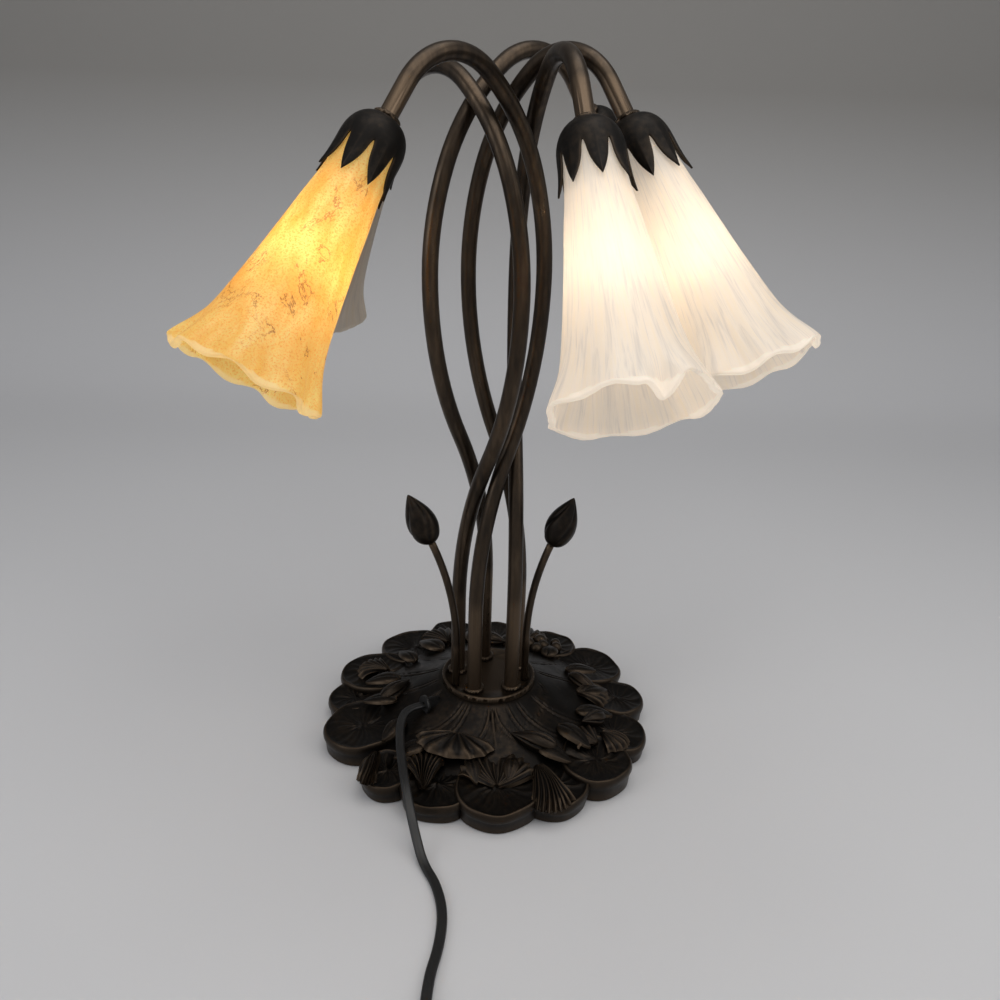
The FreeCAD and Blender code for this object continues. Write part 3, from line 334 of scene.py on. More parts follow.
class Finish:
    """A material that is put together node by node."""

    def __init__(self, name):
        self.material = bpy.data.materials.new(name)
        self.material.use_nodes = True
        self.tree = self.material.node_tree
        self.shader = self.tree.nodes["Principled BSDF"]
        self.output = self.tree.nodes["Material Output"]
        self.coordinates = self.node("TexCoord")

    def node(self, kind, **settings):
        """A new node with its settings."""
        node = self.tree.nodes.new(f"ShaderNode{kind}")
        for name, value in settings.items():
            setattr(node, name, value)
        return node

    def link(self, source, target):
        self.tree.links.new(source, target)

    def feed(self, name, source):
        """Link a source to one of the shader's inputs."""
        self.link(source, self.shader.inputs[name])

    def fill(self, socket, value):
        """Link a source to a socket, or set the socket to a number or a colour."""
        if isinstance(value, bpy.types.NodeSocket):
            self.link(value, socket)
        elif isinstance(value, (int, float)):
            socket.default_value = value
        else:
            socket.default_value = (*value, 1)

    def set(self, **values):
        for name, value in values.items():
            self.shader.inputs[name.replace("_", " ")].default_value = value

    def mapped(self, scale, source=None):
        node = self.node("Mapping")
        node.inputs["Scale"].default_value = scale
        self.link(source or self.coordinates.outputs["Object"], node.inputs["Vector"])
        return node.outputs["Vector"]

    def attribute(self, name):
        return self.node("Attribute", attribute_name=name).outputs["Vector"]

    def noise(self, vector, scale, detail=3.0, roughness=0.55, distortion=0.0):
        node = self.node("TexNoise")
        values = {"Scale": scale, "Detail": detail, "Roughness": roughness, "Distortion": distortion}
        for name, value in values.items():
            node.inputs[name].default_value = value
        self.link(vector, node.inputs["Vector"])
        return node.outputs["Fac"]

    def ramp(self, source, stops):
        """Stops of (position, colour or grey value)."""
        node = self.node("ValToRGB")
        elements = node.color_ramp.elements
        while len(elements) < len(stops):
            elements.new(0.5)
        for element, (position, shade) in zip(elements, stops):
            element.position = position
            element.color = (*shade, 1) if isinstance(shade, tuple) else (shade, shade, shade, 1)
        self.link(source, node.inputs["Fac"])
        return node.outputs["Color"]

    def mix(self, fac, a, b, blend="MIX"):
        node = self.node("Mix", data_type="RGBA", blend_type=blend)
        for index, value in zip(COLOUR_MIX_INPUTS, (fac, a, b)):
            self.fill(node.inputs[index], value)
        return node.outputs[COLOUR_MIX_RESULT]

    def maths(self, operation, a, b=0.0):
        node = self.node("Math", operation=operation)
        for index, value in enumerate((a, b)):
            self.fill(node.inputs[index], value)
        return node.outputs[0]

    def bump(self, height, strength, distance):
        node = self.node("Bump")
        node.inputs["Strength"].default_value = strength
        node.inputs["Distance"].default_value = distance
        self.link(height, node.inputs["Height"])
        self.feed("Normal", node.outputs["Normal"])

    def rolled_rim(self):
        """0.75 on the rolled bead of a shade's mouth, 0 on the rest of the glass."""
        node = self.node("Attribute", attribute_name="rolled_rim")
        return self.ramp(node.outputs["Fac"], [(0.80, 0), (1.0, 0.75)])

    def edges(self, low, high):
        """1 on sharp outer edges, 0 elsewhere."""
        return self.ramp(self.node("NewGeometry").outputs["Pointiness"], [(low, 0), (high, 1)])


def scaled(colour, *factors):
    """A colour times one factor, or times one for each channel, at most 1."""
    return tuple(min(c * f, 1.0) for c, f in zip(colour, factors * 3))


def bronze_finish(name, along=(1, 1, 1), dark_share=0.5, sheen=0.36, warmth=1.0):
    """Dark antique bronze: brown-black patina, rubbed through to warm metal in streaks and on edges."""
    metal = bpy.context.scene.lamp_metal
    dark, warm = scaled(metal.dark, warmth), scaled(metal.warm, warmth)
    finish = Finish(name)
    broad = finish.noise(finish.mapped(along), 38.0, 5.0, 0.6)
    streak = finish.noise(finish.mapped(tuple(a * 2.6 for a in along)), 90.0, 3.0, 0.5)
    mixed = finish.mix(0.4, broad, streak)
    middle = tuple((d + w) / 2.4 for d, w in zip(dark, warm))
    stops = [(dark_share - 0.12, dark), (dark_share + 0.06, middle), (dark_share + 0.24, warm)]
    patina = finish.ramp(mixed, stops)
    rubbed = finish.mix(finish.edges(0.505, 0.56), patina, warm)
    finish.feed("Base Color", rubbed)
    finish.set(Metallic=0.85)
    fine = finish.noise(finish.coordinates.outputs["Object"], 900.0, 2.0)
    rough = finish.ramp(finish.mix(0.35, mixed, fine), [(0.3, sheen + 0.16), (0.7, sheen - 0.04)])
    finish.feed("Roughness", rough)
    finish.bump(finish.mix(0.5, streak, fine), 0.10, 0.0004)
    return finish.material


def plain_finish(name, colour, roughness, metallic=0.0, grain=500.0, bump=0.08, spread=0.25):
    """A moulded or plated surface with a slight unevenness of colour, gloss and grain."""
    finish = Finish(name)
    noise = finish.noise(finish.coordinates.outputs["Object"], grain, 4.0)
    low, high = scaled(colour, 1 - spread), scaled(colour, 1 + spread)
    finish.feed("Base Color", finish.ramp(noise, [(0.35, low), (0.65, high)]))
    rough = finish.ramp(noise, [(0.3, roughness * 0.85), (0.7, min(roughness * 1.2, 1.0))])
    finish.feed("Roughness", rough)
    finish.set(Metallic=metallic)
    finish.bump(noise, bump, 0.0003)
    return finish.material


def glass_shader(finish, colour, milk, clearness, glow=0.0):
    """Milky glass: part passes light straight through its rough wall, part scatters it."""
    finish.feed("Base Color", colour)
    if glow:
        finish.feed("Emission Color", colour)
        finish.set(Emission_Strength=glow / (1 - milk))
    finish.set(
        Roughness=0.34, IOR=1.45, Transmission_Weight=clearness, Coat_Weight=0.25, Coat_Roughness=0.12)
    scatter = finish.node("BsdfTranslucent")
    finish.link(colour, scatter.inputs["Color"])
    blend = finish.node("MixShader")
    blend.inputs[0].default_value = milk
    finish.link(finish.shader.outputs[0], blend.inputs[1])
    finish.link(scatter.outputs[0], blend.inputs[2])
    finish.link(blend.outputs[0], finish.output.inputs["Surface"])


def white_glass(name, colour, clearness, glow=0.0):
    """White art glass with wisps along its length and fine pressed flutes."""
    finish = Finish(name)
    skin = finish.attribute("skin")
    wisp = finish.noise(finish.mapped((7.0, 7.0, 0.55), skin), 2.0, 5.0, 0.58, 0.6)
    fine = finish.noise(finish.mapped((24.0, 24.0, 0.8), skin), 2.0, 3.0, 0.5, 0.3)
    both = finish.mix(0.28, wisp, fine)
    grey = scaled(colour, 0.84, 0.85, 0.88)
    cream = scaled(colour, 1.02, 0.985, 0.93)
    streaked = finish.ramp(both, [(0.36, grey), (0.50, colour), (0.64, cream)])
    tint = finish.mix(finish.rolled_rim(), streaked, scaled(colour, 1.16))
    glass_shader(finish, tint, 0.55, clearness, glow)
    finish.bump(both, 0.30, 0.0008)
    return finish.material


def amber_glass(name, colour, glow):
    """Amber art glass: fine gold speckle, cloudy bands and a few thin red-brown veins."""
    finish = Finish(name)
    skin = finish.attribute("skin")
    speckle = finish.noise(finish.coordinates.outputs["Object"], 900.0, 3.0, 0.75)
    cloud = finish.noise(finish.mapped((1.6, 1.6, 1.0), skin), 1.5, 4.0, 0.6, 0.4)
    pale = scaled(colour, 1.06, 1.28, 1.9)
    deep = scaled(colour, 0.78, 0.62, 0.35)
    body = finish.ramp(cloud, [(0.36, colour), (0.66, pale)])
    dusted = finish.mix(finish.ramp(speckle, [(0.50, 0), (0.62, 0.62)]), body, deep)
    crack = finish.noise(finish.mapped((1.0, 1.0, 0.9), skin), 1.25, 7.0, 0.62, 0.9)
    line = finish.maths("ABSOLUTE", finish.maths("SUBTRACT", crack, 0.5))
    place_noise = finish.noise(finish.mapped((1.0, 1.0, 1.0), skin), 1.1, 1.0)
    thin = finish.ramp(line, [(0.0, 1), (0.011, 0)])
    shown = finish.ramp(place_noise, [(0.50, 0), (0.56, 0.8)])
    vein = finish.mix(1.0, thin, shown, "MULTIPLY")
    veined = finish.mix(vein, dusted, (0.30, 0.075, 0.02))
    tint = finish.mix(finish.rolled_rim(), veined, (0.95, 0.82, 0.52))
    glass_shader(finish, tint, 0.62, 0.25, glow)
    finish.bump(finish.mix(0.5, speckle, cloud), 0.22, 0.0006)
    return finish.material


def bulb_finish(name, strength):
    """Frosted envelope, lit or dark, brightest round its filament."""
    finish = Finish(name)
    noise = finish.noise(finish.coordinates.outputs["Object"], 200.0, 2.0)
    tint = finish.ramp(noise, [(0.3, (0.88, 0.86, 0.82)), (0.7, (0.96, 0.95, 0.92))])
    finish.feed("Base Color", tint)
    finish.set(Roughness=0.3, Alpha=0.3 if strength else 1.0, Transmission_Weight=0.0 if strength else 0.6)
    if strength:
        finish.set(Emission_Color=(1.0, 0.90, 0.76, 1), Emission_Strength=strength)
    return finish.material


def filament_finish(name, strength):
    """White-hot filament, a little warmer in patches."""
    finish = Finish(name)
    noise = finish.noise(finish.coordinates.outputs["Object"], 300.0, 2.0)
    heat = finish.ramp(noise, [(0.35, (1.0, 0.90, 0.76)), (0.65, (1.0, 0.95, 0.86))])
    finish.feed("Emission Color", heat)
    finish.feed("Base Color", heat)
    finish.set(Emission_Strength=strength)
    return finish.material


# A lit bulb's bright core, in mm: how far down its head's axis, its radius and how much longer than wide.
FILAMENT = 101.0
CORE_RADIUS = 7.0
CORE_STRETCH = 1.15


def make_filament(arm, material):
    """The bright core of a lit bulb: a slim coil's glow, fuller at its middle."""
    nothing()
    bpy.ops.mesh.primitive_uv_sphere_add(segments=24, ring_count=12, radius=CORE_RADIUS)
    core = bpy.context.view_layer.objects.active
    move_points(core, lambda co: (co.x, co.y, co.z * CORE_STRETCH + FILAMENT))
    place(core, head_matrix(arm) @ Matrix.Scale(MM, 4))
    finished(core, f"glowing_core_{arm}", material, angle=0)


# ---------------- glass shades

SHADE_PROFILE = [
    (12.0, 14.5), (14.2, 14.5), (16.2, 14.6), (17.0, 15.2), (17.5, 17.5), (17.9, 22.0),
    (18.1, 30.0), (18.7, 38.0),
    (19.6, 46.0), (20.8, 54.0), (22.2, 62.0), (23.6, 72.0), (25.2, 84.0), (26.7, 94.0), (28.0, 103.0),
    (29.5, 112.0), (31.0, 121.0), (32.7, 131.0), (34.6, 141.0), (36.4, 148.0), (38.2, 154.0),
    (40.2, 159.5),
    (42.2, 164.0), (44.1, 168.0), (45.8, 171.5), (47.2, 174.5), (48.0, 176.6), (48.2, 177.8),
]
SHADE_SEGMENTS = 144
MOUTH = 177.8              # mm down the head's axis, like the heights below
RUFFLE_START = 134.0
FLUTE_START = 100.0
FLUTES = 36
FLUTE_DEPTH = 0.28
FOLD_START = 160.0
FOLD_SHOULDERS = 164.0
NECK_FLANGE = 13           # mm: the skin's points inside this radius stay where they are

# Each shade: waves round its mouth as (count, share of the ruffle's depth, phase in degrees), and folds as
# (azimuth round its axis, width in degrees, inward mm, downward mm).
RUFFLES = {
    "left_front": ([(8, 0.75, 10), (3, 0.35, 70), (5, 0.3, 200)], []),
    "front": ([(7, 0.62, 60), (4, 0.3, 150), (3, 0.2, 20)], [(-93, 5.5, 7.0, 6.0)]),
    "right": ([(8, 0.7, 100), (3, 0.4, 10), (5, 0.3, 60)], []),
    "left_back": ([(7, 0.9, 0), (4, 0.4, 80)], []),
    "right_back": ([(8, 0.9, 50), (3, 0.5, 120)], []),
}


def shade_skin(arm, glass):
    """The outer skin of one shade, ruffled and fluted towards its mouth."""
    skin = turned(SHADE_PROFILE, SHADE_SEGMENTS, closed_ends=False)
    waves, folds = RUFFLES[arm]
    depth = glass.ruffle / MM

    def ruffled(co):
        angle = math.atan2(co.y, co.x)
        radius = math.hypot(co.x, co.y)
        grow = ease(co.z, RUFFLE_START, MOUTH) ** 1.3
        wave = sum(share * math.cos(n * angle + math.radians(phase)) for n, share, phase in waves) * depth
        flute = FLUTE_DEPTH * math.cos(FLUTES * angle) * ease(co.z, FLUTE_START, MOUTH)
        r = radius + (wave * grow + flute) * (1 if radius > NECK_FLANGE else 0)
        z = co.z - wave * 1.15 * grow
        for azimuth, width, inward, downward in folds:
            off = (math.degrees(angle) - azimuth + 180) % 360 - 180
            pinch = math.exp(-(off / width) ** 2) * ease(co.z, FOLD_START, MOUTH)
            beside = math.exp(-((abs(off) - 2.4 * width) / width) ** 2)
            shoulders = beside * ease(co.z, FOLD_SHOULDERS, MOUTH)
            r -= pinch * inward
            z += pinch * downward - shoulders * downward * 0.45
        return (r * math.cos(angle), r * math.sin(angle), z)

    move_points(skin, ruffled)
    return skin


def note_skin(piece):
    """Keep each point's place round and along the shade, for patterns that follow the glass."""
    attribute = piece.data.attributes.new("skin", "FLOAT_VECTOR", "POINT")
    for vertex, item in zip(piece.data.vertices, attribute.data):
        angle = math.atan2(vertex.co.y, vertex.co.x)
        item.vector = (math.cos(angle), math.sin(angle), vertex.co.z / 40.0)
    rolled = piece.data.attributes.new("rolled_rim", "FLOAT", "POINT")
    for vertex, item in zip(piece.data.vertices, rolled.data):
        item.value = max((g.weight for g in vertex.groups), default=0.0)


def make_shade(arm, material):
    """Skin, wall, bead and finish of one shade."""
    glass = bpy.context.scene.lamp_glass
    skin = shade_skin(arm, glass)
    merged(skin)
    rim = skin.vertex_groups.new(name="bead")
    for vertex in skin.data.vertices:
        rim.add([vertex.index], ease(vertex.co.z, MOUTH - 5.5, MOUTH - 2.5), "REPLACE")
    apply_modifier(
        skin, "SOLIDIFY", thickness=glass.bead / MM, offset=-1.0, vertex_group="bead",
        thickness_vertex_group=glass.wall / glass.bead, use_even_offset=True)
    subdivide(skin)
    note_skin(skin)
    place(skin, head_matrix(arm) @ Matrix.Scale(MM, 4))
    finished(skin, f"glass_shade_{arm}", material, replaced=(f"shade_{arm}",), angle=0)


class LAMP_OT_shades(bpy.types.Operator):
    """Blow the five ruffled shades"""

    bl_idname = "lamp.shades"
    bl_label = "Glass shades"

    def execute(self, context):
        glass = context.scene.lamp_glass
        white = white_glass("white_art_glass", tuple(glass.white), 0.25, glass.glow)
        # Painted shade: the unlit shades take a copy of the same white glass with its colour 10% darker, for
        # the bulbs behind them that are off.
        unlit_painted_shade_glass = white_glass("unlit_white_glass_painted_shade", scaled(glass.white, 0.9), 0.62)
        amber = amber_glass("amber_art_glass", tuple(glass.amber), glass.glow)
        for arm in CROOK_AZIMUTH:
            if arm == "left_front":
                make_shade(arm, amber)
            else:
                make_shade(arm, unlit_painted_shade_glass if arm in UNLIT else white)
        return {"FINISHED"}


# ---------------- calyxes

CALYX_CURVE = [
    (6.3, 0.0), (8.6, -0.2), (10.8, 0.3), (13.4, 1.8), (15.8, 4.2), (17.8, 7.2), (19.3, 10.8),
    (20.3, 14.6),
    (20.7, 18.4), (20.8, 22.5), (20.8, 27.0), (20.9, 31.5), (21.2, 36.0), (21.7, 40.0),
    (22.2, 43.2), (22.6, 46.0),
]
SLIT_TOP = 20.5
PETAL_TIP = 46.0
PETAL_PHASE = 11


def petal_half_angle(z, count):
    """Half the angle that a petal spans at a height: its whole share above the slits, nothing at its tip."""
    full = math.pi / count
    if z <= SLIT_TOP:
        return full
    t = (z - SLIT_TOP) / (PETAL_TIP - SLIT_TOP)
    slit = 0.045 * min(t * 6, 1.0)
    return max(full * (1 - t ** 1.9) - slit * (1 - t), 0.007)


def make_calyx(arm, material):
    """Petals that are one cup at the top."""
    count = bpy.context.scene.lamp_metal.petals

    def petal(u, v):
        step = v * (len(CALYX_CURVE) - 1)
        k = min(int(step), len(CALYX_CURVE) - 2)
        (r0, z0), (r1, z1) = CALYX_CURVE[k], CALYX_CURVE[k + 1]
        r, z = r0 + (r1 - r0) * (step - k), z0 + (z1 - z0) * (step - k)
        across = (u - 0.5) * 2
        angle = across * petal_half_angle(z, count)
        free = ease(z, SLIT_TOP - 6, PETAL_TIP)
        swell = 0.75 * free * (1 - across * across) - 0.35 * ease(z, 8, SLIT_TOP) * abs(across) ** 3
        crease = 0.30 * math.exp(-(across / 0.10) ** 2) * ease(z, 12, 24)
        r += swell + crease
        return (r * math.cos(angle), r * math.sin(angle), z)

    piece = gridded(10, 30, petal)
    with editing(piece):
        bpy.ops.mesh.spin(steps=count, dupli=True, angle=2 * math.pi, center=(0, 0, 0), axis=(0, 0, 1))
    merged(piece, 0.02)
    face_away_from_axis(piece)
    body = piece.vertex_groups.new(name="body")
    for vertex in piece.data.vertices:
        body.add([vertex.index], 1 - ease(vertex.co.z, PETAL_TIP - 7.0, PETAL_TIP), "REPLACE")
    apply_modifier(
        piece, "SOLIDIFY", thickness=1.5, offset=-1.0, vertex_group="body", thickness_vertex_group=0.2)
    subdivide(piece)
    turn = Matrix.Rotation(math.radians(PETAL_PHASE), 4, "Z")
    place(piece, head_matrix(arm) @ turn @ Matrix.Scale(MM, 4))
    finished(piece, f"petal_calyx_{arm}", material, replaced=(f"calyx_{arm}",), angle=0)


def face_away_from_axis(piece):
    """Turn an open skin's faces so that they point away from the Z axis."""
    outward = sum(p.normal.x * p.center.x + p.normal.y * p.center.y for p in piece.data.polygons)
    if outward < 0:
        flip_faces(piece)


class LAMP_OT_calyxes(bpy.types.Operator):
    """Cast the five petal calyxes"""

    bl_idname = "lamp.calyxes"
    bl_label = "Calyxes"

    def execute(self, context):
        material = bronze_finish("calyx_bronze", (1, 1, 1), 0.58, 0.42, 0.6)
        for arm in CROOK_AZIMUTH:
            make_calyx(arm, material)
        return {"FINISHED"}


# ---------------- tubes, fittings and bulbs

class LAMP_OT_metalwork(bpy.types.Operator):
    """Finish the arms, stem plate, collars and bud stems"""

    bl_idname = "lamp.metalwork"
    bl_label = "Metalwork"

    def execute(self, context):
        tube = bronze_finish("tube_bronze", (1.0, 1.0, 0.16), 0.47, 0.28, 1.35)
        collar = bronze_finish("collar_bronze", (1, 1, 1), 0.54, 0.32, 0.85)
        for arm in CROOK_AZIMUTH:
            smooth_copy(f"arm_tube_{arm}", f"bent_arm_{arm}", tube)
        for name in ("stem_plate", "foot_collars", "end_collars"):
            smooth_copy(name, f"{name}_bronze", collar)
        for side in ("left", "right"):
            smooth_copy(f"bud_stem_{side}", f"{side}_bud_stem", tube)
        return {"FINISHED"}


class LAMP_OT_fittings(bpy.types.Operator):
    """Finish the sockets, bulbs and the parts inside the base"""

    bl_idname = "lamp.fittings"
    bl_label = "Fittings"

    def execute(self, context):
        glass = context.scene.lamp_glass
        moulded = plain_finish("socket_moulding", (0.022, 0.022, 0.022), 0.32)
        plated = plain_finish("zinc_plate", (0.55, 0.54, 0.52), 0.3, 1.0, 260.0)
        lit = bulb_finish("lit_bulb", 0.8)
        hot = filament_finish("hot_filament", glass.bulb_light)
        unlit = bulb_finish("unlit_bulb", 0.0)
        for arm in CROOK_AZIMUTH:
            smooth_copy(f"socket_{arm}", f"lamp_holder_{arm}", moulded)
            smooth_copy(f"bulb_cap_{arm}", f"screw_cap_{arm}", plated)
            envelope = unlit if arm in UNLIT else lit
            smooth_copy(f"bulb_glass_{arm}", f"candle_bulb_{arm}", envelope, angle=60)
            if arm not in UNLIT:
                make_filament(arm, hot)
        smooth_copy("shade_rings", "clamping_rings", moulded)
        for name in ("socket_nuts", "lock_nuts", "washers", "bud_nuts", "base_plate", "base_plate_screws"):
            smooth_copy(name, f"{name}_plated", plated)
        felt = plain_finish("green_felt", (0.035, 0.06, 0.04), 0.95, 0.0, 1500.0, 0.6, 0.4)
        smooth_copy("base_felt", "felt_pad", felt)
        pale = plain_finish("terminal_moulding", (0.72, 0.72, 0.68), 0.5)
        smooth_copy("terminal_block", "terminal_moulding", pale)
        sleeve = plain_finish("lead_sleeve", (0.03, 0.03, 0.032), 0.4)
        smooth_copy("arm_leads", "arm_lead_wires", sleeve)
        return {"FINISHED"}


# ---------------- lily pad casting

# Pads round the base: azimuth, distance, radius and rim height in mm, turn of their veins, number of veins.
PADS = [
    (275.0, 112.5, 34.0, 22.0, 10, 22), (251.0, 115.0, 29.0, 19.5, 40, 18),
    (230.0, 121.0, 23.0, 18.5, 80, 14),
    (201.0, 112.0, 33.0, 22.0, 20, 20), (178.0, 118.0, 24.0, 19.0, 130, 14),
    (159.0, 111.0, 32.0, 22.5, 55, 20),
    (130.0, 111.0, 33.0, 21.5, 200, 22), (108.0, 119.0, 22.0, 23.5, 15, 14),
    (86.0, 114.0, 28.0, 20.5, 90, 18),
    (59.0, 112.0, 27.0, 22.0, 25, 16), (33.0, 112.0, 31.0, 21.5, 160, 20),
    (7.0, 116.0, 26.0, 19.5, 70, 16),
    (342.0, 113.0, 29.0, 19.0, 35, 18), (319.0, 118.0, 29.0, 22.5, 110, 20),
    (297.0, 117.0, 28.0, 19.0, 0, 16),
]
PAD_TILT = 4.5
PAD_SEGMENTS = 84
# The rolled rim from the skirt up and over, as inset from the pad's radius and drop from its rim height.
PAD_RIM = (
    (1.5, 12.0), (0.7, 8.5), (0.2, 6.0), (0.0, 3.8), (0.3, 2.0), (0.9, 0.8), (1.6, 0.2),
    (2.2, 0.2), (2.9, 0.8), (3.7, 1.3), (5.5, 1.5),
)
PAD_RINGS = (0.93, 0.86, 0.79, 0.72, 0.65, 0.58, 0.5, 0.42, 0.34, 0.26, 0.18, 0.11, 0.05)
BASE_FOOT = 1.0

# The dome in mm: its flat top, the slope beyond it, and the rings that it is turned from.
DOME_TOP = 45.0
DOME_TOP_RADIUS = 41.0
DOME_SLOPE = 0.443
DOME_RINGS = 62
DOME_RING_STEP = 1.15
DOME_EDGE = 112.3
DOME_SEGMENTS = 360

# Engraved stems on the dome: azimuth where they start at the stem plate, azimuth and distance where they end.
STEMS = [
    (272, 256, 84), (275, 276, 80), (278, 301, 84), (250, 238, 92), (243, 222, 88),
    (292, 312, 90), (304, 326, 95),
    (326, 340, 95), (352, 0, 96), (14, 16, 96), (36, 42, 95), (62, 62, 88), (88, 86, 96), (112, 118, 96),
    (140, 138, 96), (166, 160, 94), (188, 184, 88), (208, 203, 84),
]
STEM_START = 43.0          # mm from the axis
STEM_REACH = 5             # mm aside, beyond which a stem leaves no mark


def dome_height(radius):
    """Height of the dome at a distance from the axis, in mm."""
    over = max(radius - DOME_TOP_RADIUS, 0.0)
    return DOME_TOP - DOME_SLOPE * over * (1 - math.exp(-over / 4.0))


def stem_relief(radius, azimuth):
    """Two fine grooves with a low ridge between them, along each engraved stem."""
    relief = 0.0
    for start, end, reach in STEMS:
        t = (radius - STEM_START) / (reach - STEM_START)
        if not 0 < t < 1:
            continue
        middle = start + (end - start) * t * t
        off = abs(((azimuth - middle + 180) % 360 - 180) * math.pi / 180 * radius)
        if off > STEM_REACH:
            continue
        half = 1.5 + 1.1 * t
        fade = ease(t, 0.0, 0.12) * (1 - ease(t, 0.85, 1.0))
        relief -= 0.75 * fade * math.exp(-((off - half) / 0.55) ** 2)
        relief += 0.35 * fade * math.exp(-(off / 1.3) ** 2)
    return relief


def make_dome():
    """The middle of the casting, with its engraved stems."""
    radii = [DOME_TOP_RADIUS + DOME_RING_STEP * k for k in range(DOME_RINGS)]
    rings = [(30.0, DOME_TOP)] + [(radius, dome_height(radius)) for radius in radii]
    rings += [(DOME_EDGE, 6.0), (DOME_EDGE, BASE_FOOT)]
    dome = turned(rings, DOME_SEGMENTS)

    def engraved(co):
        radius = math.hypot(co.x, co.y)
        if co.z < 14:
            return co
        azimuth = math.degrees(math.atan2(co.y, co.x))
        wander = 0.5 * math.sin(azimuth * 0.21) * math.sin(radius * 0.11)
        return (co.x, co.y, co.z + stem_relief(radius, azimuth) + wander * ease(radius, 48, 70))

    move_points(dome, engraved)
    merged(dome)
    return dome


def make_pad(azimuth, distance, radius, rim, turn, veins):
    """One lily pad: rolled rim, dished and veined top, and the skirt that it stands on."""
    profile = [(radius - 2.4, BASE_FOOT)]
    profile += [(radius - inset, rim - drop) for inset, drop in PAD_RIM]
    inner = radius - 5.5
    profile += [(inner * share, rim - 1.5 - 1.5 * (1 - share ** 2)) for share in PAD_RINGS]
    pad = turned(profile, PAD_SEGMENTS)
    out = math.tan(math.radians(PAD_TILT))
    notch_at = azimuth + 180 + turn * 0.3

    def grown(co):
        angle = math.degrees(math.atan2(co.y, co.x))
        r = math.hypot(co.x, co.y)
        share = min(r / radius, 1.0)
        wobble = 1 + 0.026 * math.cos(math.radians(3 * angle + turn * 3))
        wobble += 0.016 * math.cos(math.radians(5 * angle + turn * 7))
        x, y, z = co.x * wobble, co.y * wobble, co.z
        if z > rim - 12:
            lift = ease(z, rim - 12, rim - 6)
            toward = x * math.cos(math.radians(azimuth)) + y * math.sin(math.radians(azimuth))
            z += lift * (-out * toward + 0.7 * math.cos(math.radians(2 * angle + turn)))
            z += lift * 0.35 * math.cos(math.radians(7 * angle + turn * 5)) * share
        if r < radius - 3:
            bent = angle + turn + 9.0 * math.sin(share * 4 + math.radians(angle * 2))
            vein = 0.5 + 0.5 * math.cos(math.radians(veins * bent))
            z += (0.55 * vein ** 4 - 0.12) * ease(share, 0.06, 0.3) * (1 - 0.6 * ease(share, 0.75, 0.92))
            off = (angle - notch_at + 180) % 360 - 180
            notch = math.exp(-(math.radians(off) * r / (1.0 + 2.2 * share)) ** 2)
            z -= 2.0 * notch * ease(share, 0.02, 0.2)
            z += 0.8 * math.exp(-(r / 3.2) ** 2)
        return (x, y, z)

    move_points(pad, grown)
    merged(pad)
    place(pad, Matrix.Translation(polar(distance, azimuth)))
    return pad


# Pleated leaves: root x, y, z, length, pleats, spread and heading in degrees, fall along the length,
# squeeze across and depth of the cleft at the middle.
PLEATED = [
    (9.0, -115.0, 21.5, 36.0, 12, 158.0, 92.0, -6.0, 1.0, 0.42),
    (41.0, -90.0, 25.0, 48.0, 9, 62.0, 288.0, 6.5),
    (-88.0, -80.0, 25.5, 36.0, 6, 40.0, 262.0, 4.0),
    (-47.0, -120.0, 21.0, 36.0, 8, 66.0, 94.0, -7.0),
    (-24.0, -68.0, 36.0, 26.0, 7, 168.0, 258.0, 4.5, 1.45),
    (96.0, -46.0, 25.0, 26.0, 6, 80.0, 318.0, 3.0),
    (78.0, 4.0, 29.0, 30.0, 7, 90.0, 10.0, 5.0),
    (-92.0, 34.0, 26.0, 30.0, 7, 90.0, 150.0, 4.0),
    (-40.0, 84.0, 27.0, 34.0, 8, 90.0, 116.0, 5.0),
    (34.0, 92.0, 26.0, 30.0, 7, 90.0, 66.0, 4.0),
    (92.0, -62.0, 25.0, 22.0, 6, 120.0, 150.0, -3.0),
]


def thickened(leaf, thickness):
    """An open leaf that faces up, made solid from below."""
    if sum(p.normal.z for p in leaf.data.polygons) < 0:
        flip_faces(leaf)
    apply_modifier(leaf, "SOLIDIFY", thickness=thickness, offset=-1.0)
    return leaf


def make_pleated_leaf(x, y, z, length, pleats, spread, heading, fall, squeeze=1.0, cleft=0.0):
    """A leaf folded like a fan, from one root, with a scalloped edge that beds into what lies under it."""

    def fan(u, v):
        t = 0.06 + 0.94 * v
        sway = 5.0 * math.sin(3.0 * t + u * 4.0 + heading)
        angle = math.radians(heading + spread * (u - 0.5) + sway)
        phase = math.cos(2 * math.pi * pleats * (u - 0.5 + 0.02 * math.sin(9 * u)))
        scallop = 1 + 0.04 * phase * ease(v, 0.6, 1.0)
        bow = (1 - 0.16 * (2 * u - 1) ** 2) * (1 - cleft * math.exp(-((u - 0.5) / 0.10) ** 2))
        reach = length * t * scallop * bow
        dx, dy = reach * math.cos(angle), reach * math.sin(angle)
        h = math.radians(heading)
        along = dx * math.cos(h) + dy * math.sin(h)
        across = (-dx * math.sin(h) + dy * math.cos(h)) * squeeze
        dx = along * math.cos(h) - across * math.sin(h)
        dy = along * math.sin(h) + across * math.cos(h)
        ridge = (1.05 * t ** 0.7) * phase * (1 - 0.5 * ease(v, 0.88, 1.0))
        crown = 2.6 * math.sin(math.pi * min(t * 0.85, 1.0))
        bed = -2.6 * ease(v, 0.86, 1.0) - 2.2 * ease(abs(2 * u - 1), 0.86, 1.0)
        return (x + dx, y + dy, z - fall * t * t + ridge + crown + bed)

    leaf = gridded(pleats * 8, 13, fan)
    merged(leaf)
    return thickened(leaf, 3.0)


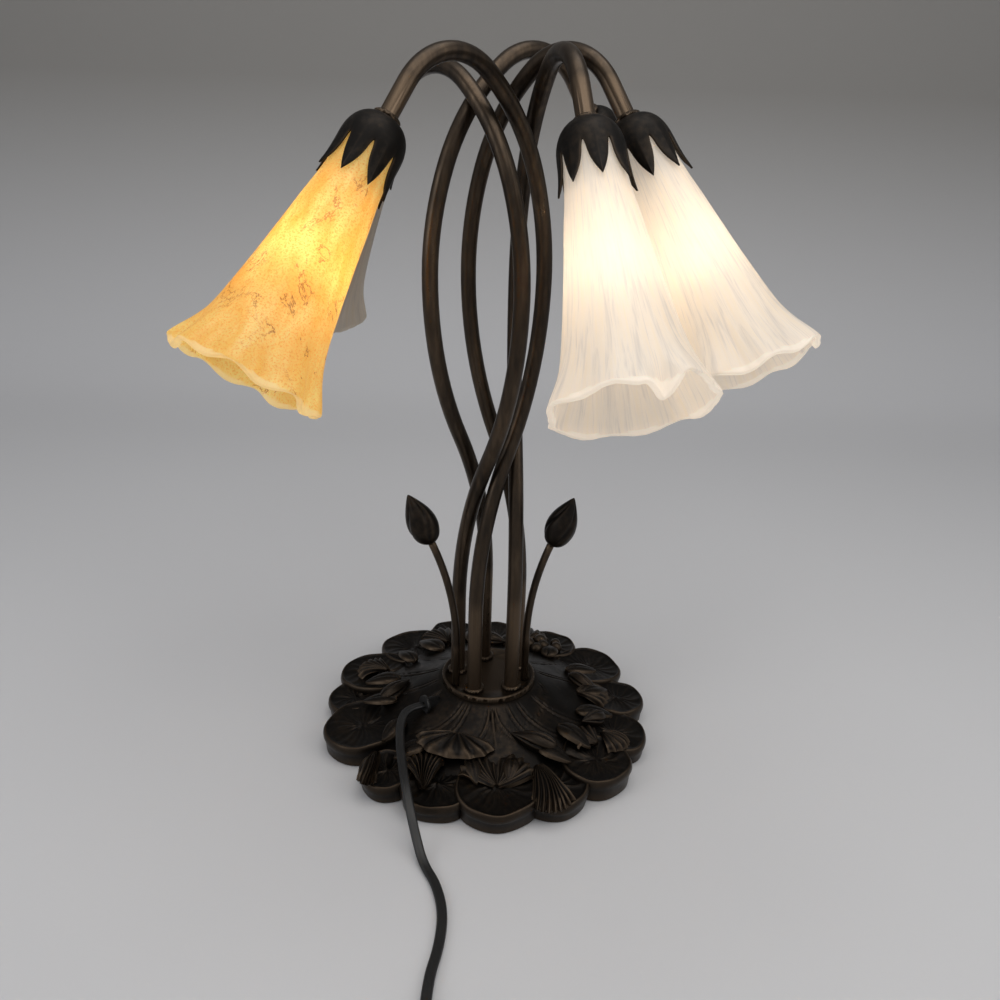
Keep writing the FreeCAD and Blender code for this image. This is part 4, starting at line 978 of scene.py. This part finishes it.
# Folded leaves round the dome: azimuth, distance and height of the root, length, width, heading, droop.
LEAVES = [
    (300, 84, 29, 30, 17, 331, 4), (322, 76, 31, 34, 18, 318, 5), (342, 80, 30, 32, 16, 2, 5),
    (2, 82, 29, 28, 17, 25, 4), (28, 80, 30, 30, 15, 12, 4), (48, 82, 29, 26, 16, 75, 4),
    (80, 80, 29, 30, 17, 62, 4),
    (98, 82, 29, 30, 16, 110, 4), (124, 78, 31, 32, 18, 138, 5), (146, 82, 29, 28, 15, 128, 4),
    (168, 80, 30, 32, 17, 182, 5), (192, 80, 30, 30, 16, 176, 4), (212, 82, 29, 28, 15, 236, 4),
    (236, 86, 28, 30, 16, 212, 4), (284, 90, 27, 24, 13, 262, 4), (262, 92, 27, 24, 13, 286, 4),
]


def make_leaf(azimuth, distance, z, length, width, heading, droop):
    """A leaf with a sunk midrib, side veins and edges that roll under."""
    root = polar(distance, azimuth)
    along = polar(1.0, heading)
    aside = polar(1.0, heading + 90)

    def blade(u, v):
        across = 2 * u - 1
        half = 0.5 * width * (math.sin(math.pi * min(v ** 0.75, 1.0)) ** 0.75 + 0.04)
        rise = 3.4 * math.sin(math.pi * v ** 0.8) * (1 - 0.55 * across ** 2) - droop * v * v
        rise -= 1.1 * math.exp(-(across / 0.13) ** 2) * (1 - v)
        side_veins = math.cos(2 * math.pi * (v * 8 - abs(across) * 1.6))
        rise += 0.28 * side_veins * (1 - v) * ease(abs(across), 0.1, 0.3)
        rise -= 1.8 * ease(abs(across), 0.82, 1.0)
        place_at = root + along * (length * v) + aside * (across * half)
        return (place_at.x, place_at.y, z + rise)

    leaf = gridded(16, 20, blade)
    merged(leaf, 1e-4)
    return thickened(leaf, 3.5)


# A closed bud, blunt at its root and pointed at its tip, as (share of length, share of radius).
BUD_SHAPE = (
    (0.0, 0.24), (0.02, 0.42), (0.06, 0.60), (0.12, 0.77), (0.20, 0.90), (0.29, 0.98), (0.38, 1.0),
    (0.47, 0.97), (0.56, 0.89), (0.65, 0.77), (0.74, 0.61), (0.82, 0.45), (0.89, 0.30), (0.95, 0.17),
    (0.985, 0.08), (1.0, 0.02),
)
BUD_SEGMENTS = 64


def make_bud(length, radius, petals=4, twist=70.0, groove=0.13):
    """A closed bud along +Z whose petals wrap round it."""
    bud = turned([(radius * r, length * z) for z, r in BUD_SHAPE], BUD_SEGMENTS)
    span = 360 / petals

    def wrapped(co):
        angle = math.degrees(math.atan2(co.y, co.x))
        share = co.z / length
        seam = (angle - twist * share) % span
        step = min(seam, span - seam)
        inside = math.exp(-(step / 7.0) ** 2) + 0.45 * (seam / span)
        k = 1 - groove * inside * ease(share, 0.02, 0.18) * (1 - 0.5 * ease(share, 0.8, 1.0))
        return (co.x * k, co.y * k, co.z)

    move_points(bud, wrapped)
    merged(bud)
    return bud


def towards(direction, axis="Z"):
    """A turn that brings an axis to a direction."""
    return direction.to_track_quat(axis, "Y").to_matrix().to_4x4()


# Closed buds that lie on the casting: root, tip and radius, in mm.
LYING_BUDS = [
    ((57, -75, 29), (20, -65, 34), 9.0),
    ((-92, -17, 27), (-70, 10, 33), 8.5),
    ((74, 30, 29), (98, 8, 27), 7.5),
    ((-8, 92, 27), (16, 78, 33), 8.0),
    ((100, -26, 25), (80, -42, 31), 7.5),
]
BERRIES = [
    (66, 92, 27, 7.0), (58, 98, 26, 6.0), (62, 106, 25.5, 6.5), (52, 105, 25, 5.5), (70, 104, 25, 6.0),
    (59, 88, 28, 5.5), (55, 112, 24, 5.0), (66, 113, 24, 5.0),
]


class LAMP_OT_casting(bpy.types.Operator):
    """Cast the base: dome, lily pads, pleated leaves, buds and berries"""

    bl_idname = "lamp.casting"
    bl_label = "Lily pad casting"

    def execute(self, context):
        parts = [make_dome()]
        for maker, rows in ((make_pad, PADS), (make_pleated_leaf, PLEATED), (make_leaf, LEAVES)):
            parts += [maker(*row) for row in rows]
        for root, tip, radius in LYING_BUDS:
            root, tip = Vector(root), Vector(tip)
            bud = make_bud((tip - root).length, radius, 5, 30.0, 0.16)
            place(bud, Matrix.Translation(root) @ towards(tip - root))
            parts.append(bud)
        for azimuth, distance, z, radius in BERRIES:
            nothing()
            bpy.ops.mesh.primitive_uv_sphere_add(
                segments=20, ring_count=12, radius=radius, location=polar(distance, azimuth, z))
            berry = bpy.context.view_layer.objects.active
            only(berry)
            bpy.ops.object.transform_apply(location=True)
            parts.append(berry)
        base = joined(parts)
        place(base, Matrix.Scale(MM, 4))
        material = bronze_finish("cast_bronze", (1, 1, 1), 0.60, 0.34, 0.78)
        finished(base, "lily_pad_base", material, replaced=("base_casting",), angle=50)
        return {"FINISHED"}


# ---------------- buds on stems

ROOT_POINTS = 24           # points farthest from a bud's tip, whose middle is its root
BUD_RADIUS = 12.9


class LAMP_OT_buds(bpy.types.Operator):
    """Cast the two buds on their stems"""

    bl_idname = "lamp.buds"
    bl_label = "Buds"

    def execute(self, context):
        material = bronze_finish("bud_bronze", (1, 1, 1), 0.56, 0.34, 0.75)
        for side, away in (("left", -1), ("right", 1)):
            mesh = frame["nodes"][f"bud_{side}"].data
            points = [v.co.copy() for v in mesh.vertices]
            tip = max(points, key=lambda p: p.z + away * p.x)
            root_face = sorted(points, key=lambda p: -(p - tip).length)[:ROOT_POINTS]
            root = sum(root_face, Vector()) / len(root_face)
            axis = tip - root
            bud = make_bud(axis.length / MM, BUD_RADIUS)
            place(bud, Matrix.Translation(root) @ towards(axis) @ Matrix.Scale(MM, 4))
            subdivide(bud)
            finished(bud, f"{side}_bud", material, replaced=(f"bud_{side}",), angle=0)
        return {"FINISHED"}


# ---------------- flex, switch and plug

def coil_point(turns):
    """A point of the coil: in on the floor, up a layer at the middle, and out again."""
    inward = min(turns, COIL_TURNS - turns)
    radius = COIL_OUTER - COIL_PITCH * inward
    climb = min(max((turns - COIL_TURNS / 2) / COIL_CLIMB + 0.5, 0.0), 1.0)
    z = COIL_FLOOR + COIL_LAYER * climb * climb * (3 - 2 * climb)
    return COIL_CENTRE + polar(radius, COIL_START + 360 * turns, z)


def flex_line(points, name):
    """Points read from a smooth curve that the route's points control."""
    curve = bpy.data.curves.new(name, "CURVE")
    curve.dimensions = "3D"
    curve.resolution_u = 10
    spline = curve.splines.new("NURBS")
    spline.points.add(len(points) - 1)
    for point, place_at in zip(spline.points, points):
        point.co = (*place_at, 1)
    spline.order_u = 3
    spline.use_endpoint_u = True
    holder = bpy.data.objects.new(name, curve)
    bpy.context.scene.collection.objects.link(holder)
    bpy.context.view_layer.update()
    mesh = bpy.data.meshes.new_from_object(holder)
    line = [v.co.copy() for v in mesh.vertices]
    bpy.data.objects.remove(holder)
    bpy.data.meshes.remove(mesh)
    bpy.data.curves.remove(curve)
    return line


CORE_ARC = 236             # degrees of each core's round outside
CORE_STEPS = 8


def twin_section(width, thickness):
    """Outline of two round cores side by side, with a groove between them."""
    radius = thickness / 2
    middle = width / 2 - radius
    outline = []
    for start, side in ((-118, 1), (62, -1)):
        for k in range(CORE_STEPS + 1):
            angle = math.radians(start + CORE_ARC * k / CORE_STEPS)
            outline.append((side * middle + radius * math.cos(angle), radius * math.sin(angle)))
    return outline


def make_flex(name, points, material, node):
    """Sweep the flat twin section along the route, its flat side down."""
    flex = bpy.context.scene.lamp_flex
    line = flex_line(points, f"{name}_line")
    outline = twin_section(flex.width, flex.thickness)
    vertices, faces = [], []
    count = len(outline)
    for k, point in enumerate(line):
        along = (line[min(k + 1, len(line) - 1)] - line[max(k - 1, 0)]).normalized()
        side = along.cross(UP).normalized()
        up = side.cross(along).normalized()
        vertices += [point + side * x + up * y for x, y in outline]
    for k in range(len(line) - 1):
        for j in range(count):
            a, b = k * count + j, k * count + (j + 1) % count
            faces.append((a, b, b + count, a + count))
    faces.append(tuple(range(count - 1, -1, -1)))
    faces.append(tuple(range(len(vertices) - count, len(vertices))))
    mesh = bpy.data.meshes.new(name)
    mesh.from_pydata([tuple(v) for v in vertices], [], faces)
    piece = bpy.data.objects.new(name, mesh)
    bpy.context.scene.collection.objects.link(piece)
    merged(piece, 1e-7)
    finished(piece, name, material, replaced=(node,), angle=50)
    length = sum((b - a).length for a, b in zip(line, line[1:]))
    return piece, line, length


class LAMP_OT_flex(bpy.types.Operator):
    """Lay the flex, its coil, the switch and the plug"""

    bl_idname = "lamp.flex"
    bl_label = "Flex, switch and plug"

    def execute(self, context):
        sleeve = plain_finish("flex_sleeve", (0.006, 0.006, 0.006), 0.42, 0.0, 700.0, 0.05)
        moulded = plain_finish("switch_moulding", (0.016, 0.016, 0.016), 0.34, 0.0, 900.0, 0.10)
        brass = plain_finish("blade_brass", (0.72, 0.52, 0.22), 0.25, 1.0, 300.0)
        steel = plain_finish("screw_steel", (0.5, 0.5, 0.5), 0.3, 1.0, 300.0)
        bushing = smooth_copy("cord_bushing", "flex_grommet", sleeve)
        shells = [
            smooth_copy("switch_base", "switch_lower_shell", moulded),
            smooth_copy("switch_cover", "switch_upper_shell", moulded),
            smooth_copy("switch_wheel", "switch_thumbwheel", moulded, WHEEL_BODY),
            smooth_copy("switch_screw", "switch_case_screw", steel),
        ]
        plug = smooth_copy("plug_body", "plug_moulding", moulded)
        blades = smooth_copy("plug_blades", "plug_brass_blades", brass)
        lead, line, length = make_flex("flex_lead", [Vector(p) for p in FLEX_ROUTE], sleeve, "cord_lead")
        steps = round(COIL_TURNS * COIL_STEPS)
        first, last = coil_point(0), coil_point(COIL_TURNS)
        route = [SWITCH_END, SWITCH_END + Vector((0, -0.014, -0.0006))]
        route.append(first + Vector((-0.0035, 0.015, 0.0006)))
        route += [coil_point(COIL_TURNS * k / steps) for k in range(steps + 1)]
        route += [last + Vector((0.014, 0.0006, 0.0004)), PLUG_START + Vector((-0.010, 0, 0)), PLUG_START]
        coil, line, length = make_flex("flex_coil", route, sleeve, "cord_coil")
        return {"FINISHED"}


# ---------------- stage

CAMERA_PLACE = (0.0, -0.6926, 0.5053)
CAMERA_PITCH = 22.88
CAMERA_YAW = 0.42
CAMERA_ROLL = 1.92
CAMERA_LENS = 33.56


class LAMP_OT_camera(bpy.types.Operator):
    """Stand the camera where the picture was taken"""

    bl_idname = "lamp.camera"
    bl_label = "Camera"

    def execute(self, context):
        pitch, yaw, roll = (math.radians(a) for a in (CAMERA_PITCH, CAMERA_YAW, CAMERA_ROLL))
        ahead = math.cos(pitch)
        forward = Vector((math.sin(yaw) * ahead, math.cos(yaw) * ahead, -math.sin(pitch)))
        level = Vector((math.cos(yaw), -math.sin(yaw), 0))
        upright = level.cross(forward)
        right = math.cos(roll) * level + math.sin(roll) * upright
        up = -math.sin(roll) * level + math.cos(roll) * upright
        camera = bpy.data.objects.new("camera", bpy.data.cameras.new("camera"))
        context.scene.collection.objects.link(camera)
        rotation = Matrix((right, up, -forward)).transposed().to_4x4()
        camera.matrix_world = Matrix.Translation(CAMERA_PLACE) @ rotation
        camera.data.lens = CAMERA_LENS
        camera.data.sensor_width = 36
        camera.data.clip_start = 0.01
        context.scene.camera = camera
        return {"FINISHED"}


def area_lamp(name, place_at, target, size, power, colour):
    """A soft square lamp that faces a point."""
    light = bpy.data.lights.new(name, "AREA")
    light.energy = power
    light.size = size
    light.color = colour
    lamp = bpy.data.objects.new(name, light)
    bpy.context.scene.collection.objects.link(lamp)
    direction = Vector(target) - Vector(place_at)
    lamp.matrix_world = Matrix.Translation(place_at) @ towards(direction, "-Z")


class LAMP_OT_stage(bpy.types.Operator):
    """Set the pale floor, the backdrop and the soft lights"""

    bl_idname = "lamp.stage"
    bl_label = "Stage"

    def execute(self, context):
        stage = context.scene.lamp_stage
        floor_colour, wall_colour = tuple(stage.floor), tuple(stage.wall)
        sweep = gridded(4, 60, lambda u, v: ((u - 0.5) * 9.0, *self.sweep_line(v)))
        finish = Finish("studio_sweep")
        split = finish.node("SeparateXYZ")
        finish.link(finish.coordinates.outputs["Object"], split.inputs[0])
        height = finish.ramp(split.outputs["Z"], [(0.02, floor_colour), (0.55, wall_colour)])
        finish.feed("Base Color", height)
        finish.set(Roughness=0.7)
        only(sweep)
        bpy.ops.object.shade_smooth()
        sweep.name = "studio_floor"
        sweep.data.materials.append(finish.material)
        area_lamp("overhead", (0.15, -0.25, 1.35), (0, 0, 0.2), 1.1, stage.key, (1.0, 0.985, 0.96))
        area_lamp("left", (-1.1, -0.7, 0.8), (0, 0, 0.25), 0.8, stage.key * 0.45, (0.97, 0.98, 1.0))
        area_lamp("right", (1.1, -0.5, 0.9), (0, 0, 0.25), 0.8, stage.key * 0.35, (1.0, 0.98, 0.95))
        world = bpy.data.worlds.new("studio")
        world.use_nodes = True
        background = world.node_tree.nodes["Background"]
        background.inputs["Color"].default_value = (0.86, 0.87, 0.90, 1)
        background.inputs["Strength"].default_value = stage.fill
        context.scene.world = world
        context.scene.view_settings.view_transform = "Standard"
        return {"FINISHED"}

    @staticmethod
    def sweep_line(v):
        """Across the floor from the front, round a bend and up the wall."""
        front, back, bend, top = -2.6, 1.35, 0.5, 2.6
        run = back - bend - front
        arc = bend * math.pi / 2
        travel = v * (run + arc + top - bend)
        if travel < run:
            return front + travel, 0.0
        if travel < run + arc:
            angle = (travel - run) / bend
            return back - bend + bend * math.sin(angle), bend - bend * math.cos(angle)
        return back, bend + travel - run - arc


# ---------------- panel and registration

STEPS = ("camera", "flex", "shades", "calyxes", "metalwork", "fittings", "casting", "buds", "stage")


class LAMP_PT_panel(bpy.types.Panel):
    """Lists the lamp's pieces and their sizes"""

    bl_label = "Tulip lamp"
    bl_idname = "LAMP_PT_panel"
    bl_space_type = "VIEW_3D"
    bl_region_type = "UI"
    bl_category = "Tulip lamp"

    def draw(self, context):
        layout = self.layout
        for step in STEPS:
            layout.operator(f"lamp.{step}")
        for name in SETTINGS:
            settings = getattr(context.scene, name)
            box = layout.box()
            for field in settings.__annotations__:
                box.prop(settings, field)


SETTINGS = {
    "lamp_glass": LampGlass, "lamp_metal": LampMetal, "lamp_flex": LampFlex, "lamp_stage": LampStage,
}
CLASSES = (
    *SETTINGS.values(), LAMP_OT_camera, LAMP_OT_flex, LAMP_OT_shades, LAMP_OT_calyxes, LAMP_OT_metalwork,
    LAMP_OT_fittings, LAMP_OT_casting, LAMP_OT_buds, LAMP_OT_stage, LAMP_PT_panel,
)


def register():
    for cls in CLASSES:
        bpy.utils.register_class(cls)
    for name, cls in SETTINGS.items():
        setattr(bpy.types.Scene, name, bpy.props.PointerProperty(type=cls))


def unregister():
    for name in SETTINGS:
        delattr(bpy.types.Scene, name)
    for cls in reversed(CLASSES):
        bpy.utils.unregister_class(cls)


def main():
    """Make every piece in order."""
    register()
    for step in STEPS:
        getattr(bpy.ops.lamp, step)()
    nothing()


if __name__ == "__main__":
    main()
